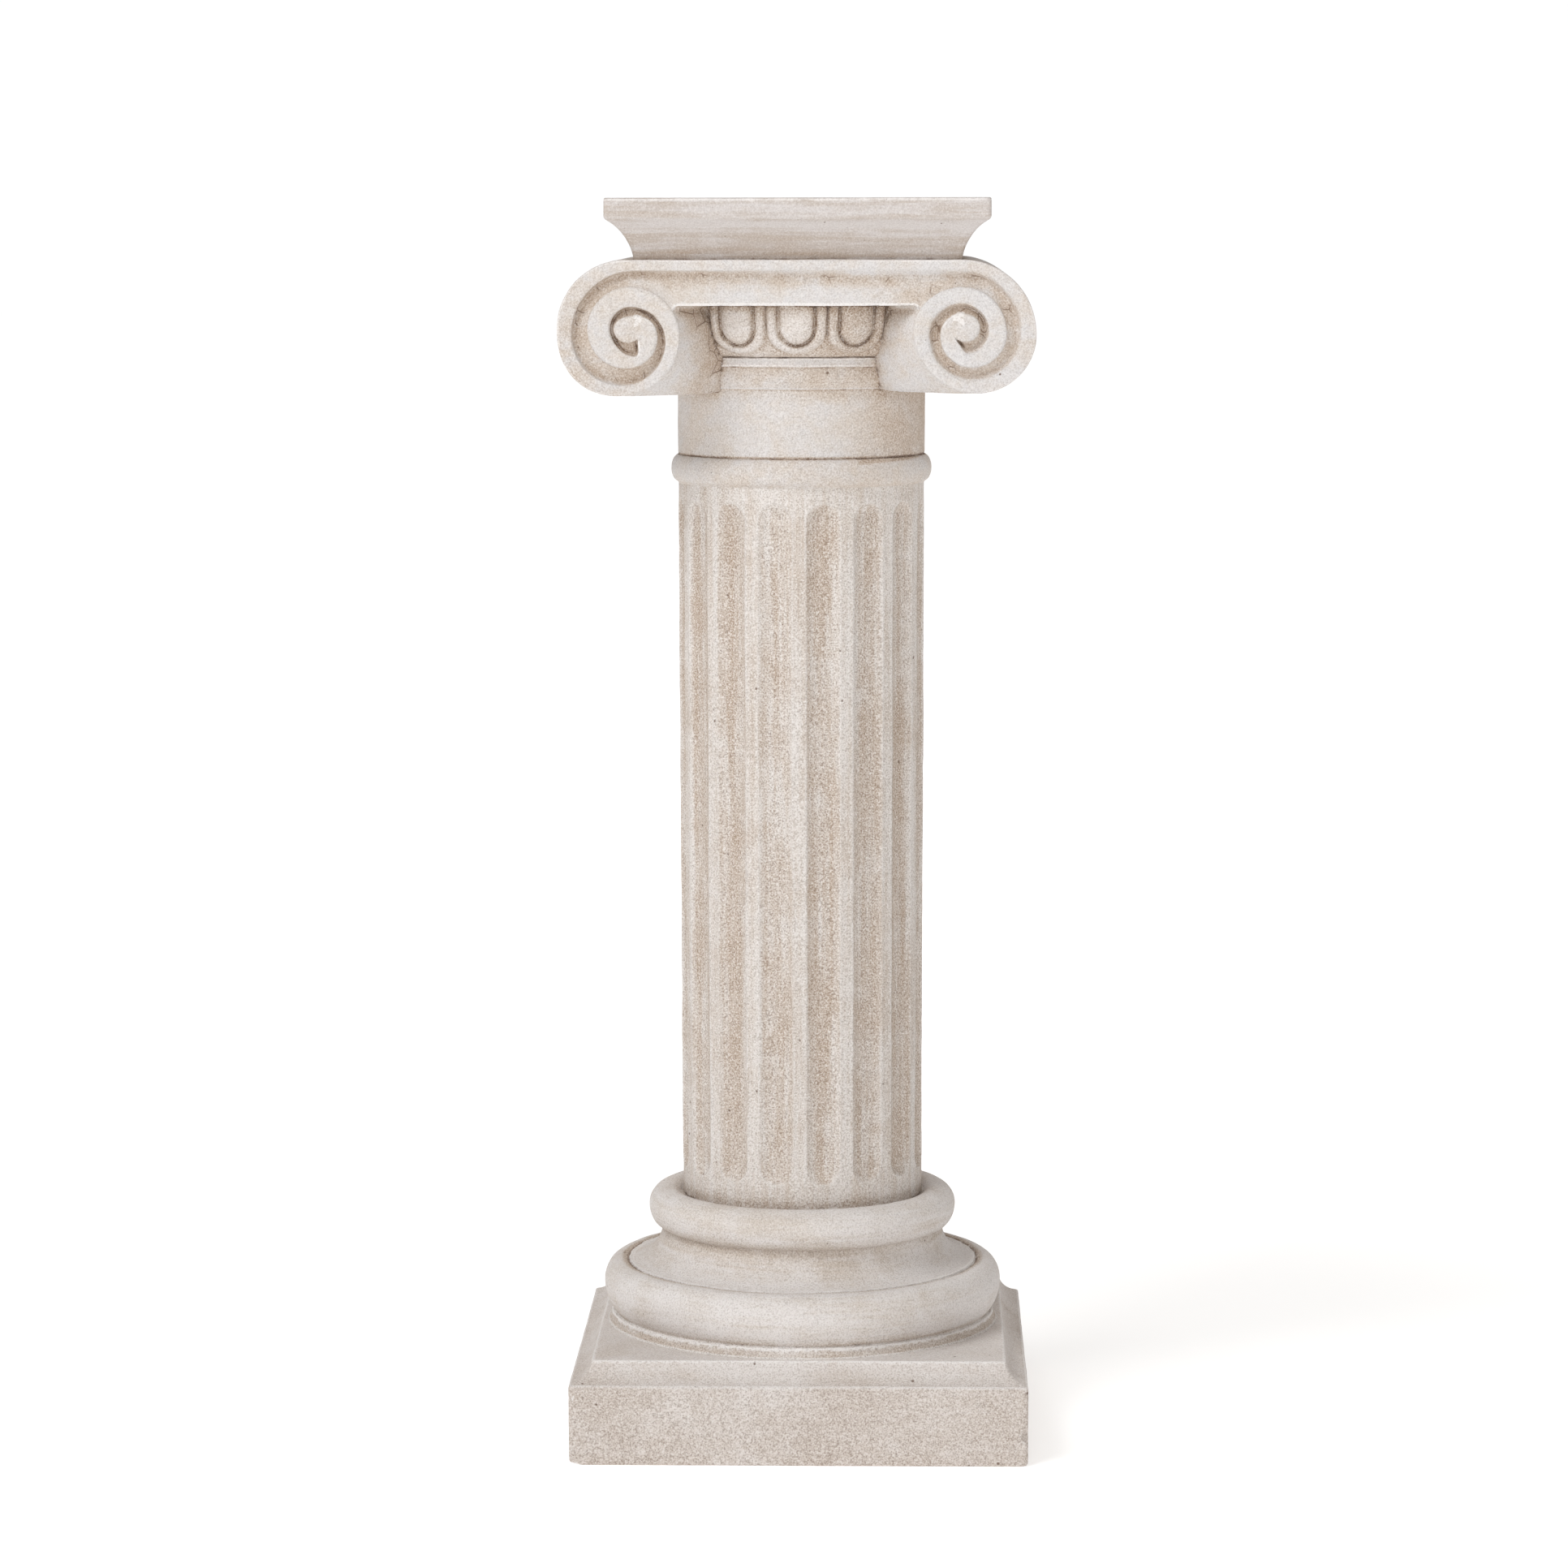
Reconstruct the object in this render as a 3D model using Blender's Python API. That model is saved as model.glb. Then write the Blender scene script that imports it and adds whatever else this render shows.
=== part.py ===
"""Column plant stand: square plinth, two-torus base, fluted shaft and a scrolled head, cast as one.

Metres, +Z up. The origin is the centre of the underside. The scrolls face -Y and +Y.
Radii are worked out from the shaft and heights are stacked up from the floor, so a change of one
moulding carries what stands on it.
"""

import math

import bmesh
import bpy

# Shaft
SHAFT_FOOT_RADIUS = 0.0750
SHAFT_HEAD_RADIUS = 0.0762
SHAFT_HEIGHT = 0.4439
SHAFT_FOOT_ROUNDING = 0.0020
FLUTE_COUNT = 16
FLUTE_TO_PITCH = 0.71
FLUTE_DEPTH = 0.0034
PLAIN_BAND_BELOW_FLUTES = 0.0130
PLAIN_BAND_ABOVE_FLUTES = 0.0102

# Base mouldings, with each projection measured out from the shaft's foot
UPPER_TORUS_PROJECTION = 0.0215
UPPER_TORUS_HEIGHT = 0.0248
UPPER_TORUS_BELLY_HEIGHT = 0.0132
UPPER_TORUS_DIP = 0.0042
SCOTIA_THROAT_PROJECTION = 0.0136
SCOTIA_HEIGHT = 0.0208
SCOTIA_HOLLOW = 0.0042
FILLET_PROJECTION = 0.0392
FILLET_HEIGHT = 0.0025
LOWER_TORUS_PROJECTION = 0.0498
LOWER_TORUS_HEIGHT = 0.0370
LOWER_TORUS_BELLY_HEIGHT = 0.0250
LOWER_TORUS_UNDERCUT = 0.0213

# Plinth
TORUS_SETBACK = 0.0016
PLINTH_FLARE = 0.0133
PLINTH_FLARE_HEIGHT = 0.0130
PLINTH_FLARE_HOLLOW = 0.0022
PLINTH_BLOCK_HEIGHT = 0.0492
PLINTH_ARRIS = 0.0026
PLINTH_CORNER_RADIUS = 0.0020
PLINTH_FOOT_BEVEL = 0.0012

# Neck mouldings, with each projection measured out from the shaft's head
ASTRAGAL_PROJECTION = 0.0046
ASTRAGAL_HEIGHT = 0.0168
NECK_PROJECTION = 0.0004
NECK_HEIGHT = 0.0425
NECK_FLARE_PROJECTION = 0.0053
NECK_FLARE_HEIGHT = 0.0135
NECK_FLARE_HOLLOW = 0.0012
RING_PROJECTION = 0.0068
RING_HEIGHT = 0.0060

# Egg pattern, cut in a rounded moulding whose ground lies behind the eggs
ECHINUS_FOOT_PROJECTION = 0.0040
ECHINUS_HEAD_PROJECTION = 0.0186
ECHINUS_HEIGHT = 0.0315
EGG_COUNT = 16
EGG_HALF_WIDTH = 0.0105
EGG_FOOT_HEIGHT = 0.0080
EGG_FOOT_ROUNDING = 0.0102
EGG_RISE = 0.0046
SHELL_FOOT_HEIGHT = 0.0025
SHELL_FOOT_ROUNDING = 0.0125
SHELL_RISE = 0.0028

# Scrolled cushion
CUSHION_HEIGHT = 0.0275
FACE_PROJECTION = 0.0112
FACE_RIM_HEIGHT = 0.0060
FACE_RECESS = 0.0045
SCROLL_SPREAD = 0.0264
SCROLL_HEIGHT = 0.0800
SCROLL_WAIST = 0.1100
SCROLL_INNER_SLOPE = 0.72
SCROLL_INNER_REACH = 0.0500
SCROLL_FILLET = 0.0030

# Abacus
ABACUS_FOOT_SETBACK = 0.0074
ABACUS_OVERHANG = 0.0096
ABACUS_FLARE_HEIGHT = 0.0255
ABACUS_FLARE_HOLLOW = 0.0031
ABACUS_ARRIS = 0.0008
ABACUS_BAND_HEIGHT = 0.0115
ABACUS_CORNER_RADIUS = 0.0025

# Knocks at the plinth's front lower corners: side of the corner, width and height
CORNER_KNOCKS = ((-1, 0.0060, 0.0075), (1, 0.0042, 0.0050))

# The scroll is drawn with quarter circles. Each radius is a share of SCROLL_HEIGHT, from the top
# of the scroll round its outer side and inwards to the eye.
BAND_OUTER_SHARES = (0.5225, 0.4775, 0.447, 0.345, 0.333, 0.270, 0.239, 0.158)
BAND_INNER_SHARES = (0.479, 0.3655, 0.334, 0.252, 0.189, 0.1765, 0.120)
BAND_INNER_LEAD_SHARE = 0.0756
EYE_SHARE = 0.106
CHANNEL_END_QUARTER = 6.45

# Fineness of the facets
ROUND_SIDES = 48
QUARTER_STEPS = 6

# Depth to which one shape is sunk in the next before they are fused
EMBED = 0.0040

# Levels worked out from the heights
PLINTH_TOP = PLINTH_BLOCK_HEIGHT + PLINTH_FLARE_HEIGHT
FILLET_FOOT = PLINTH_TOP + LOWER_TORUS_HEIGHT
FILLET_TOP = FILLET_FOOT + FILLET_HEIGHT
SCOTIA_TOP = FILLET_TOP + SCOTIA_HEIGHT
SHAFT_FOOT = SCOTIA_TOP + UPPER_TORUS_HEIGHT
SHAFT_TOP = SHAFT_FOOT + SHAFT_HEIGHT
NECK_FOOT = SHAFT_TOP + ASTRAGAL_HEIGHT
NECK_TOP = NECK_FOOT + NECK_HEIGHT
RING_FOOT = NECK_TOP + NECK_FLARE_HEIGHT
RING_TOP = RING_FOOT + RING_HEIGHT
CUSHION_FOOT = RING_TOP + ECHINUS_HEIGHT
CUSHION_TOP = CUSHION_FOOT + CUSHION_HEIGHT
ABACUS_BAND_FOOT = CUSHION_TOP + ABACUS_FLARE_HEIGHT
STAND_TOP = ABACUS_BAND_FOOT + ABACUS_BAND_HEIGHT

# Widths worked out from the projections
LOWER_TORUS_RADIUS = SHAFT_FOOT_RADIUS + LOWER_TORUS_PROJECTION
PLINTH_TOP_HALF = LOWER_TORUS_RADIUS + TORUS_SETBACK
PLINTH_HALF = PLINTH_TOP_HALF + PLINTH_FLARE
NECK_RADIUS = SHAFT_HEAD_RADIUS + NECK_PROJECTION
ECHINUS_HEAD_RADIUS = SHAFT_HEAD_RADIUS + ECHINUS_HEAD_PROJECTION
ECHINUS_FOOT_RADIUS = SHAFT_HEAD_RADIUS + ECHINUS_FOOT_PROJECTION
FACE_DEPTH = ECHINUS_HEAD_RADIUS + FACE_PROJECTION
ABACUS_FOOT_HALF = FACE_DEPTH - ABACUS_FOOT_SETBACK
ABACUS_HALF = FACE_DEPTH + ABACUS_OVERHANG
SCROLL_TOP_X = NECK_RADIUS + SCROLL_SPREAD


def clear_scene():
    """Remove whatever the file holds, so that only the stand is left."""
    for thing in list(bpy.data.objects):
        bpy.data.objects.remove(thing, do_unlink=True)


def cast_stone():
    """Make the off-white limewashed cast stone."""
    material = bpy.data.materials.new("limewashed_cast_stone")
    material.use_nodes = True
    shader = material.node_tree.nodes["Principled BSDF"]
    shader.inputs["Base Color"].default_value = (0.70, 0.66, 0.60, 1.0)
    shader.inputs["Roughness"].default_value = 0.85
    shader.inputs["Metallic"].default_value = 0.0
    return material


def bowed(start, end, hollow, steps):
    """Points of the circular arc from start to end that bows by hollow to the right of its way."""
    across = (end[0] - start[0], end[1] - start[1])
    chord = math.hypot(*across)
    radius = (chord * chord / 4.0 + hollow * hollow) / (2.0 * abs(hollow))
    half_angle = math.asin(min(1.0, chord / (2.0 * radius)))
    side = math.copysign(1.0, hollow)
    right = (across[1] / chord * side, -across[0] / chord * side)
    points = []
    for step in range(steps + 1):
        angle = half_angle * (2.0 * step / steps - 1.0)
        along = 0.5 + radius * math.sin(angle) / chord
        out = radius * (math.cos(angle) - math.cos(half_angle))
        points.append((start[0] + across[0] * along + right[0] * out,
                       start[1] + across[1] * along + right[1] * out))
    return points


def quarter(centre, reach, start_degrees, end_degrees, steps):
    """Points of an elliptical arc about centre, whose reach is its half-width and half-height."""
    points = []
    for step in range(steps + 1):
        angle = math.radians(start_degrees + (end_degrees - start_degrees) * step / steps)
        points.append((centre[0] + reach[0] * math.cos(angle),
                       centre[1] + reach[1] * math.sin(angle)))
    return points


def loft(name, rings):
    """Make a closed object through rings of equal length, with a flat face at each end."""
    mesh = bmesh.new()
    rows = [[mesh.verts.new(point) for point in ring] for ring in rings]
    for lower, upper in zip(rows, rows[1:]):
        for index, corner in enumerate(lower):
            following = (index + 1) % len(lower)
            mesh.faces.new((corner, lower[following], upper[following], upper[index]))
    mesh.faces.new(list(reversed(rows[0])))
    mesh.faces.new(rows[-1])
    bmesh.ops.recalc_face_normals(mesh, faces=mesh.faces)
    data = bpy.data.meshes.new(name)
    mesh.to_mesh(data)
    mesh.free()
    data.shade_smooth()
    data.set_sharp_from_angle(angle=math.radians(35.0))
    shape = bpy.data.objects.new(name, data)
    bpy.context.collection.objects.link(shape)
    return shape


def turned(name, profile, sides=ROUND_SIDES):
    """Make a round moulding from a profile of radius and height pairs, listed from foot to top."""
    rings = []
    for radius, height in profile:
        turn = [math.tau * side / sides for side in range(sides)]
        rings.append([(radius * math.sin(angle), -radius * math.cos(angle), height)
                      for angle in turn])
    return loft(name, rings)


def rounded_square(half, corner, height, steps=3):
    """Points of a square with rounded corners at one height."""
    ring = []
    for quadrant in range(4):
        centre_angle = math.pi / 4.0 + quadrant * math.pi / 2.0
        centre = ((half - corner) * math.copysign(1.0, math.cos(centre_angle)),
                  (half - corner) * math.copysign(1.0, math.sin(centre_angle)))
        for x, y in quarter(centre, (corner, corner), 90.0 * quadrant, 90.0 * quadrant + 90.0, steps):
            ring.append((x, y, height))
    return ring


def square_moulding(name, profile, corner):
    """Make a square moulding from a profile of half-width and height pairs."""
    return loft(name, [rounded_square(half, corner, height) for half, height in profile])


def fuse(body, other):
    """Join another shape to the body and keep it only as a hidden guide."""
    join = body.modifiers.new("fuse_" + other.name, "BOOLEAN")
    join.operation = "UNION"
    join.solver = "EXACT"
    join.object = other
    hide_guide(other)


def cut(body, cutter):
    """Cut a shape out of the body and keep it only as a hidden guide."""
    away = body.modifiers.new("cut_" + cutter.name, "BOOLEAN")
    away.operation = "DIFFERENCE"
    away.solver = "EXACT"
    away.object = cutter
    hide_guide(cutter)


def hide_guide(shape):
    """Mark a shape as a guide."""
    shape.hide_render = True
    shape.display_type = "WIRE"


def make_plinth():
    """The square block with a hollow flare up to the base."""
    arris_half = PLINTH_HALF - 0.6 * PLINTH_ARRIS
    profile = [(PLINTH_HALF - PLINTH_FOOT_BEVEL, 0.0), (PLINTH_HALF, PLINTH_FOOT_BEVEL)]
    profile += quarter((arris_half, PLINTH_BLOCK_HEIGHT - PLINTH_ARRIS),
                       (PLINTH_HALF - arris_half, PLINTH_ARRIS), 0.0, 90.0, 3)
    profile += bowed((arris_half, PLINTH_BLOCK_HEIGHT), (PLINTH_TOP_HALF, PLINTH_TOP),
                     -PLINTH_FLARE_HOLLOW, 5)[1:]
    return square_moulding("column_plant_stand", profile, PLINTH_CORNER_RADIUS)


def make_base():
    """The lower torus, fillet, scotia and upper torus, turned in one."""
    foot = SHAFT_FOOT_RADIUS
    belly = foot + LOWER_TORUS_PROJECTION
    fillet = foot + FILLET_PROJECTION
    throat = foot + SCOTIA_THROAT_PROJECTION
    upper_belly = foot + UPPER_TORUS_PROJECTION
    belly_level = PLINTH_TOP + LOWER_TORUS_BELLY_HEIGHT
    crown = FILLET_FOOT - belly_level
    upper_belly_level = SCOTIA_TOP + UPPER_TORUS_BELLY_HEIGHT
    upper_crown = SHAFT_FOOT - upper_belly_level
    undercut = belly - LOWER_TORUS_UNDERCUT

    profile = [(undercut, PLINTH_TOP - EMBED)]
    profile += quarter((undercut, belly_level), (LOWER_TORUS_UNDERCUT, LOWER_TORUS_BELLY_HEIGHT),
                       -90.0, 0.0, 4)
    profile += quarter((fillet, belly_level), (belly - fillet, crown), 0.0, 90.0, 4)[1:]
    profile += bowed((fillet, FILLET_TOP), (throat, SCOTIA_TOP), -SCOTIA_HOLLOW, 5)
    profile += quarter((throat, upper_belly_level),
                       (upper_belly - throat, UPPER_TORUS_BELLY_HEIGHT), -90.0, 0.0, 3)[1:]
    crown_radius = upper_belly - upper_crown
    dip_end = 90.0 + math.degrees(math.acos(1.0 - UPPER_TORUS_DIP / upper_crown))
    profile += quarter((crown_radius, upper_belly_level), (upper_crown, upper_crown), 0.0, dip_end, 6)[1:]
    return turned("base", profile)


def shaft_radius(height):
    """Radius of the shaft's outer face at a height, which runs evenly from foot to head."""
    share = (height - SHAFT_FOOT) / SHAFT_HEIGHT
    return SHAFT_FOOT_RADIUS + (SHAFT_HEAD_RADIUS - SHAFT_FOOT_RADIUS) * share


def shaft_ring(height, radius, opening):
    """One ring of the shaft, with the flutes opened from 0, shut, to 1, full width and depth."""
    pitch = math.tau / FLUTE_COUNT
    half = 0.5 * FLUTE_TO_PITCH * pitch
    even = pitch / 6.0
    ring = []
    for flute in range(FLUTE_COUNT):
        middle = (flute + 0.5) * pitch
        for column in range(-2, 4):
            if opening > 0.0 and column < 3:
                width = half * max(opening, 0.35)
                offset = width * math.sin(math.pi / 4.0 * column)
                depth = FLUTE_DEPTH * opening * math.cos(math.pi / 4.0 * column) ** 0.7
            else:
                offset = even * column
                depth = 0.0
            angle = middle + offset
            ring.append(((radius - depth) * math.sin(angle), -(radius - depth) * math.cos(angle),
                         height))
    return ring


def make_shaft():
    """The fluted shaft, whose flutes end in rounded heads above and below."""
    foot = SHAFT_FOOT + PLAIN_BAND_BELOW_FLUTES
    head = SHAFT_TOP - PLAIN_BAND_ABOVE_FLUTES
    end_length = 0.5 * FLUTE_TO_PITCH * math.tau / FLUTE_COUNT * SHAFT_FOOT_RADIUS
    stages = [(share, math.sqrt(1.0 - (1.0 - share) ** 2)) for share in (0.0, 0.15, 0.5, 1.0)]
    seat = SHAFT_FOOT - UPPER_TORUS_DIP
    levels = [(seat - EMBED, 0.0, SHAFT_FOOT_ROUNDING), (seat, 0.0, SHAFT_FOOT_ROUNDING),
              (seat + SHAFT_FOOT_ROUNDING, 0.0, 0.0)]
    levels += [(foot + end_length * share, max(opening, 0.001), 0.0) for share, opening in stages]
    levels += [(head - end_length * share, max(opening, 0.001), 0.0)
               for share, opening in reversed(stages)]
    levels += [(SHAFT_TOP, 0.0, 0.0), (SHAFT_TOP + ASTRAGAL_HEIGHT / 2.0, 0.0, 0.0)]
    rings = [shaft_ring(height, shaft_radius(height) - inset, opening)
             for height, opening, inset in levels]
    return loft("shaft", rings)


def make_neck():
    """The astragal, the plain neck, its flare and the ring under the eggs, turned in one."""
    head = SHAFT_HEAD_RADIUS
    flare = head + NECK_FLARE_PROJECTION
    ring = head + RING_PROJECTION
    half_height = ASTRAGAL_HEIGHT / 2.0

    profile = quarter((head, SHAFT_TOP + half_height), (ASTRAGAL_PROJECTION, half_height),
                      -90.0, 90.0, 7)
    profile.append((NECK_RADIUS, NECK_FOOT))
    profile += bowed((NECK_RADIUS, NECK_TOP), (flare, RING_FOOT), NECK_FLARE_HOLLOW, 3)
    profile += [(ring, RING_FOOT), (ring, RING_TOP)]
    return turned("neck", profile)


def tongue(across, height, half_width, foot, rounding):
    """Distance from a tongue's middle as a share of its half-width: 1 on its rounded outline."""
    below = max(0.0, foot + rounding - height)
    return math.hypot(across / half_width, below / rounding)


def egg_relief(across, height):
    """How far the egg pattern stands out of its ground, at a place measured from an egg's middle."""
    shell_half = math.pi * ECHINUS_HEAD_RADIUS / EGG_COUNT
    egg = tongue(across, height, EGG_HALF_WIDTH, RING_TOP + EGG_FOOT_HEIGHT, EGG_FOOT_ROUNDING)
    shell = tongue(across, height, shell_half, RING_TOP + SHELL_FOOT_HEIGHT, SHELL_FOOT_ROUNDING)
    if egg < 1.0:
        return EGG_RISE * math.sqrt(1.0 - egg ** 2)
    if shell < 1.0:
        inside = (egg - 1.0) * EGG_HALF_WIDTH
        outside = (1.0 - shell) * shell_half
        return SHELL_RISE * math.sqrt(1.0 - ((inside - outside) / (inside + outside)) ** 2)
    return 0.0


def egg_columns():
    """Places across one egg and its shell, from the middle to one side, where the surface turns."""
    shell_half = math.pi * ECHINUS_HEAD_RADIUS / EGG_COUNT
    shell_middle = (EGG_HALF_WIDTH + shell_half) / 2.0
    return (0.0, 0.55 * EGG_HALF_WIDTH, 0.90 * EGG_HALF_WIDTH, EGG_HALF_WIDTH, shell_middle, shell_half)


def egg_levels():
    """Heights above the ring, as shares of the echinus, where the pattern turns."""
    heights = (SHELL_FOOT_HEIGHT, (SHELL_FOOT_HEIGHT + EGG_FOOT_HEIGHT) / 2.0, EGG_FOOT_HEIGHT,
               EGG_FOOT_HEIGHT + 0.2 * EGG_FOOT_ROUNDING, EGG_FOOT_HEIGHT + 0.55 * EGG_FOOT_ROUNDING,
               EGG_FOOT_HEIGHT + 1.1 * EGG_FOOT_ROUNDING)
    middle = [height / ECHINUS_HEIGHT for height in heights]
    return [0.0] + middle + [(middle[-1] + 1.0) / 2.0, 1.0]


def make_echinus():
    """The rounded moulding with its row of eggs and their shells."""
    half = egg_columns()
    places = [-place for place in reversed(half[1:-1])] + list(half)
    swell = ECHINUS_HEAD_RADIUS - ECHINUS_FOOT_RADIUS
    levels = egg_levels()
    rows = [(0.0, -EMBED)] + [(share, 0.0) for share in levels] + [(1.0, EMBED)]
    rings = []
    for share, sink in rows:
        height = RING_TOP + ECHINUS_HEIGHT * share
        ground = ECHINUS_FOOT_RADIUS + swell * math.sqrt(1.0 - (1.0 - share) ** 2)
        ring = []
        for egg in range(EGG_COUNT):
            for place in places:
                angle = math.tau * egg / EGG_COUNT + place / ECHINUS_HEAD_RADIUS
                radius = ground + egg_relief(place, height)
                ring.append((radius * math.sin(angle), -radius * math.cos(angle), height + sink))
        rings.append(ring)
    return loft("echinus", rings)


def scroll_arcs(start, shares):
    """Centre and radius of each quarter circle of a scroll that starts at its top, going outward."""
    radii = [SCROLL_HEIGHT * share for share in shares]
    centre = (start[0], start[1] - radii[0])
    arcs = []
    for index, radius in enumerate(radii):
        arcs.append((centre, radius))
        if index + 1 < len(radii):
            angle = -math.pi / 2.0 * index
            step = radius - radii[index + 1]
            centre = (centre[0] + step * math.cos(angle), centre[1] + step * math.sin(angle))
    return arcs


def scroll_point(arcs, quarters):
    """Point of the scroll after a number of quarter turns from its top."""
    index = min(int(quarters), len(arcs) - 1)
    centre, radius = arcs[index]
    angle = math.pi / 2.0 * (1.0 - quarters)
    return (centre[0] + radius * math.cos(angle), centre[1] + radius * math.sin(angle))


def head_section(depth_behind_face, waist):
    """Half outline of the scrolled cushion, from its top middle round the scroll to its foot."""
    outer = scroll_arcs((SCROLL_TOP_X, CUSHION_TOP), BAND_OUTER_SHARES)
    points = [(0.0, CUSHION_TOP), (SCROLL_TOP_X, CUSHION_TOP)]
    for step in range(1, 2 * QUARTER_STEPS + 1):
        x, z = scroll_point(outer, step / QUARTER_STEPS)
        x = SCROLL_TOP_X + (x - SCROLL_TOP_X) * (1.0 - waist)
        points.append((x, CUSHION_TOP + (z - CUSHION_TOP) * (1.0 - waist)))
    (centre_x, centre_z), radius = outer[2]
    spread = min(max(SCROLL_INNER_SLOPE * depth_behind_face, 0.0005), SCROLL_INNER_REACH)
    wide = radius + spread
    foot = points[-1][1]
    start = math.acos(min(1.0, (centre_z - foot) / wide))
    for step in range(QUARTER_STEPS + 1):
        angle = start + (math.pi / 2.0 - start) * step / QUARTER_STEPS
        points.append((centre_x - wide * math.sin(angle), centre_z - wide * math.cos(angle)))
    points.append((centre_x - wide, CUSHION_FOOT - SCROLL_FILLET))
    points.append((centre_x - wide - SCROLL_FILLET, CUSHION_FOOT))
    points.append((0.0, CUSHION_FOOT))
    return points


def make_head():
    """The scrolled cushion, waisted between its faces, with both faces recessed inside their bands."""
    shares = (0.0, 0.12, 0.26, 0.45, 0.72, 1.0)
    half = [(-FACE_DEPTH * (1.0 - share), SCROLL_WAIST * math.sin(math.pi / 2.0 * share) ** 2)
            for share in shares]
    stations = half + [(-y, waist) for y, waist in reversed(half[:-1])]
    rings = []
    for y, waist in stations:
        right = head_section(FACE_DEPTH - abs(y), waist)
        left = [(-x, z) for x, z in reversed(right[1:-1])]
        rings.append([(x, y, z) for x, z in right + left])
    head = loft("head", rings)
    for name, side in (("front_recess", -1.0), ("back_recess", 1.0)):
        cut(head, make_face_cutter(name, side))
    return head


def channel_pairs():
    """Outer and inner edge points of the recess, from the middle of the face in to one eye."""
    outer = scroll_arcs((SCROLL_TOP_X, CUSHION_TOP), BAND_OUTER_SHARES)
    lead_x = SCROLL_TOP_X - BAND_INNER_LEAD_SHARE * SCROLL_HEIGHT
    rim = CUSHION_TOP - FACE_RIM_HEIGHT
    inner = scroll_arcs((lead_x, rim), BAND_INNER_SHARES)
    eye_centre = outer[0][0]
    eye_radius = EYE_SHARE * SCROLL_HEIGHT
    (lift_x, lift_z), lift_radius = outer[3]
    lift_angle = math.asin(max(-1.0, min(1.0, (CUSHION_FOOT - lift_z) / lift_radius)))
    lift_start = 3.0 + lift_angle / (math.pi / 2.0)
    side_x = lift_x - lift_radius * math.cos(lift_angle)

    pairs = [((0.0, rim), (0.0, CUSHION_FOOT - EMBED)), ((side_x, rim), (side_x, CUSHION_FOOT - EMBED))]
    for step in range(1, QUARTER_STEPS):
        share = step / QUARTER_STEPS
        pairs.append(((side_x + (lead_x - side_x) * share, rim),
                      scroll_point(outer, lift_start + (4.0 - lift_start) * share)))
    steps = int(CHANNEL_END_QUARTER * QUARTER_STEPS)
    for step in range(steps + 1):
        quarters = CHANNEL_END_QUARTER * step / steps
        if quarters < 4.0:
            inside = scroll_point(outer, quarters + 4.0)
        else:
            angle = math.pi / 2.0 * (1.0 - quarters)
            inside = (eye_centre[0] + eye_radius * math.cos(angle),
                      eye_centre[1] + eye_radius * math.sin(angle))
        pairs.append((scroll_point(inner, quarters), inside))
    return pairs


def make_face_cutter(name, side):
    """The recess of one face: the sunk middle and the channel that winds in to each eye."""
    right = channel_pairs()
    left = [((-a[0], a[1]), (-b[0], b[1])) for a, b in reversed(right[1:])]
    near = side * (FACE_DEPTH + EMBED)
    far = side * (FACE_DEPTH - FACE_RECESS)
    rings = [[(a[0], near, a[1]), (b[0], near, b[1]), (b[0], far, b[1]), (a[0], far, a[1])]
             for a, b in left + right]
    return loft(name, rings)


def make_abacus():
    """The square slab with a hollow flare up to its plain band."""
    profile = [(ABACUS_FOOT_HALF, CUSHION_TOP - EMBED)]
    profile += bowed((ABACUS_FOOT_HALF, CUSHION_TOP), (ABACUS_HALF - ABACUS_ARRIS, ABACUS_BAND_FOOT),
                     -ABACUS_FLARE_HOLLOW, 6)
    profile += [(ABACUS_HALF, ABACUS_BAND_FOOT + ABACUS_ARRIS), (ABACUS_HALF, STAND_TOP - ABACUS_ARRIS),
                (ABACUS_HALF - ABACUS_ARRIS, STAND_TOP)]
    return square_moulding("abacus", profile, ABACUS_CORNER_RADIUS)


def make_knock(index, side, width, height):
    """The sliver knocked off one lower front corner of the plinth, as a wedge to be cut away."""
    corner_x = side * PLINTH_HALF
    corner_y = -PLINTH_HALF
    spare = PLINTH_FOOT_BEVEL
    rings = []
    for reach, z in ((width + spare, -spare), (spare, height + spare)):
        rings.append([(corner_x + side * spare, corner_y - spare, z),
                      (corner_x - side * reach, corner_y - spare, z),
                      (corner_x + side * spare, corner_y + reach, z)])
    return loft("corner_knock_{}".format(index), rings)


def build_stand():
    """Fuse the mouldings into the one casting."""
    stand = make_plinth()
    for other in (make_base(), make_shaft(), make_neck(), make_echinus(), make_head(), make_abacus()):
        fuse(stand, other)
    for index, (side, width, height) in enumerate(CORNER_KNOCKS):
        cut(stand, make_knock(index, side, width, height))
    stand.data.materials.append(cast_stone())
    return stand


clear_scene()
build_stand()
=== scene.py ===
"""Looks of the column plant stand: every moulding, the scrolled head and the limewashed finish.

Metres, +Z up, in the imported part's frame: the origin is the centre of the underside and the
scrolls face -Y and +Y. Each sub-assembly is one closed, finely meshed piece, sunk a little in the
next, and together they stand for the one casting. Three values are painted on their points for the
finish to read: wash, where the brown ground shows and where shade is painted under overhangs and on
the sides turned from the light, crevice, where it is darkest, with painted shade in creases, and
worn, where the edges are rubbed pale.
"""

import logging
import math
from collections.abc import Sequence
from dataclasses import dataclass
from enum import Enum

import bmesh
import bpy
import numpy as np
from mathutils import Matrix, Vector
from mathutils.bvhtree import BVHTree


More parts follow.
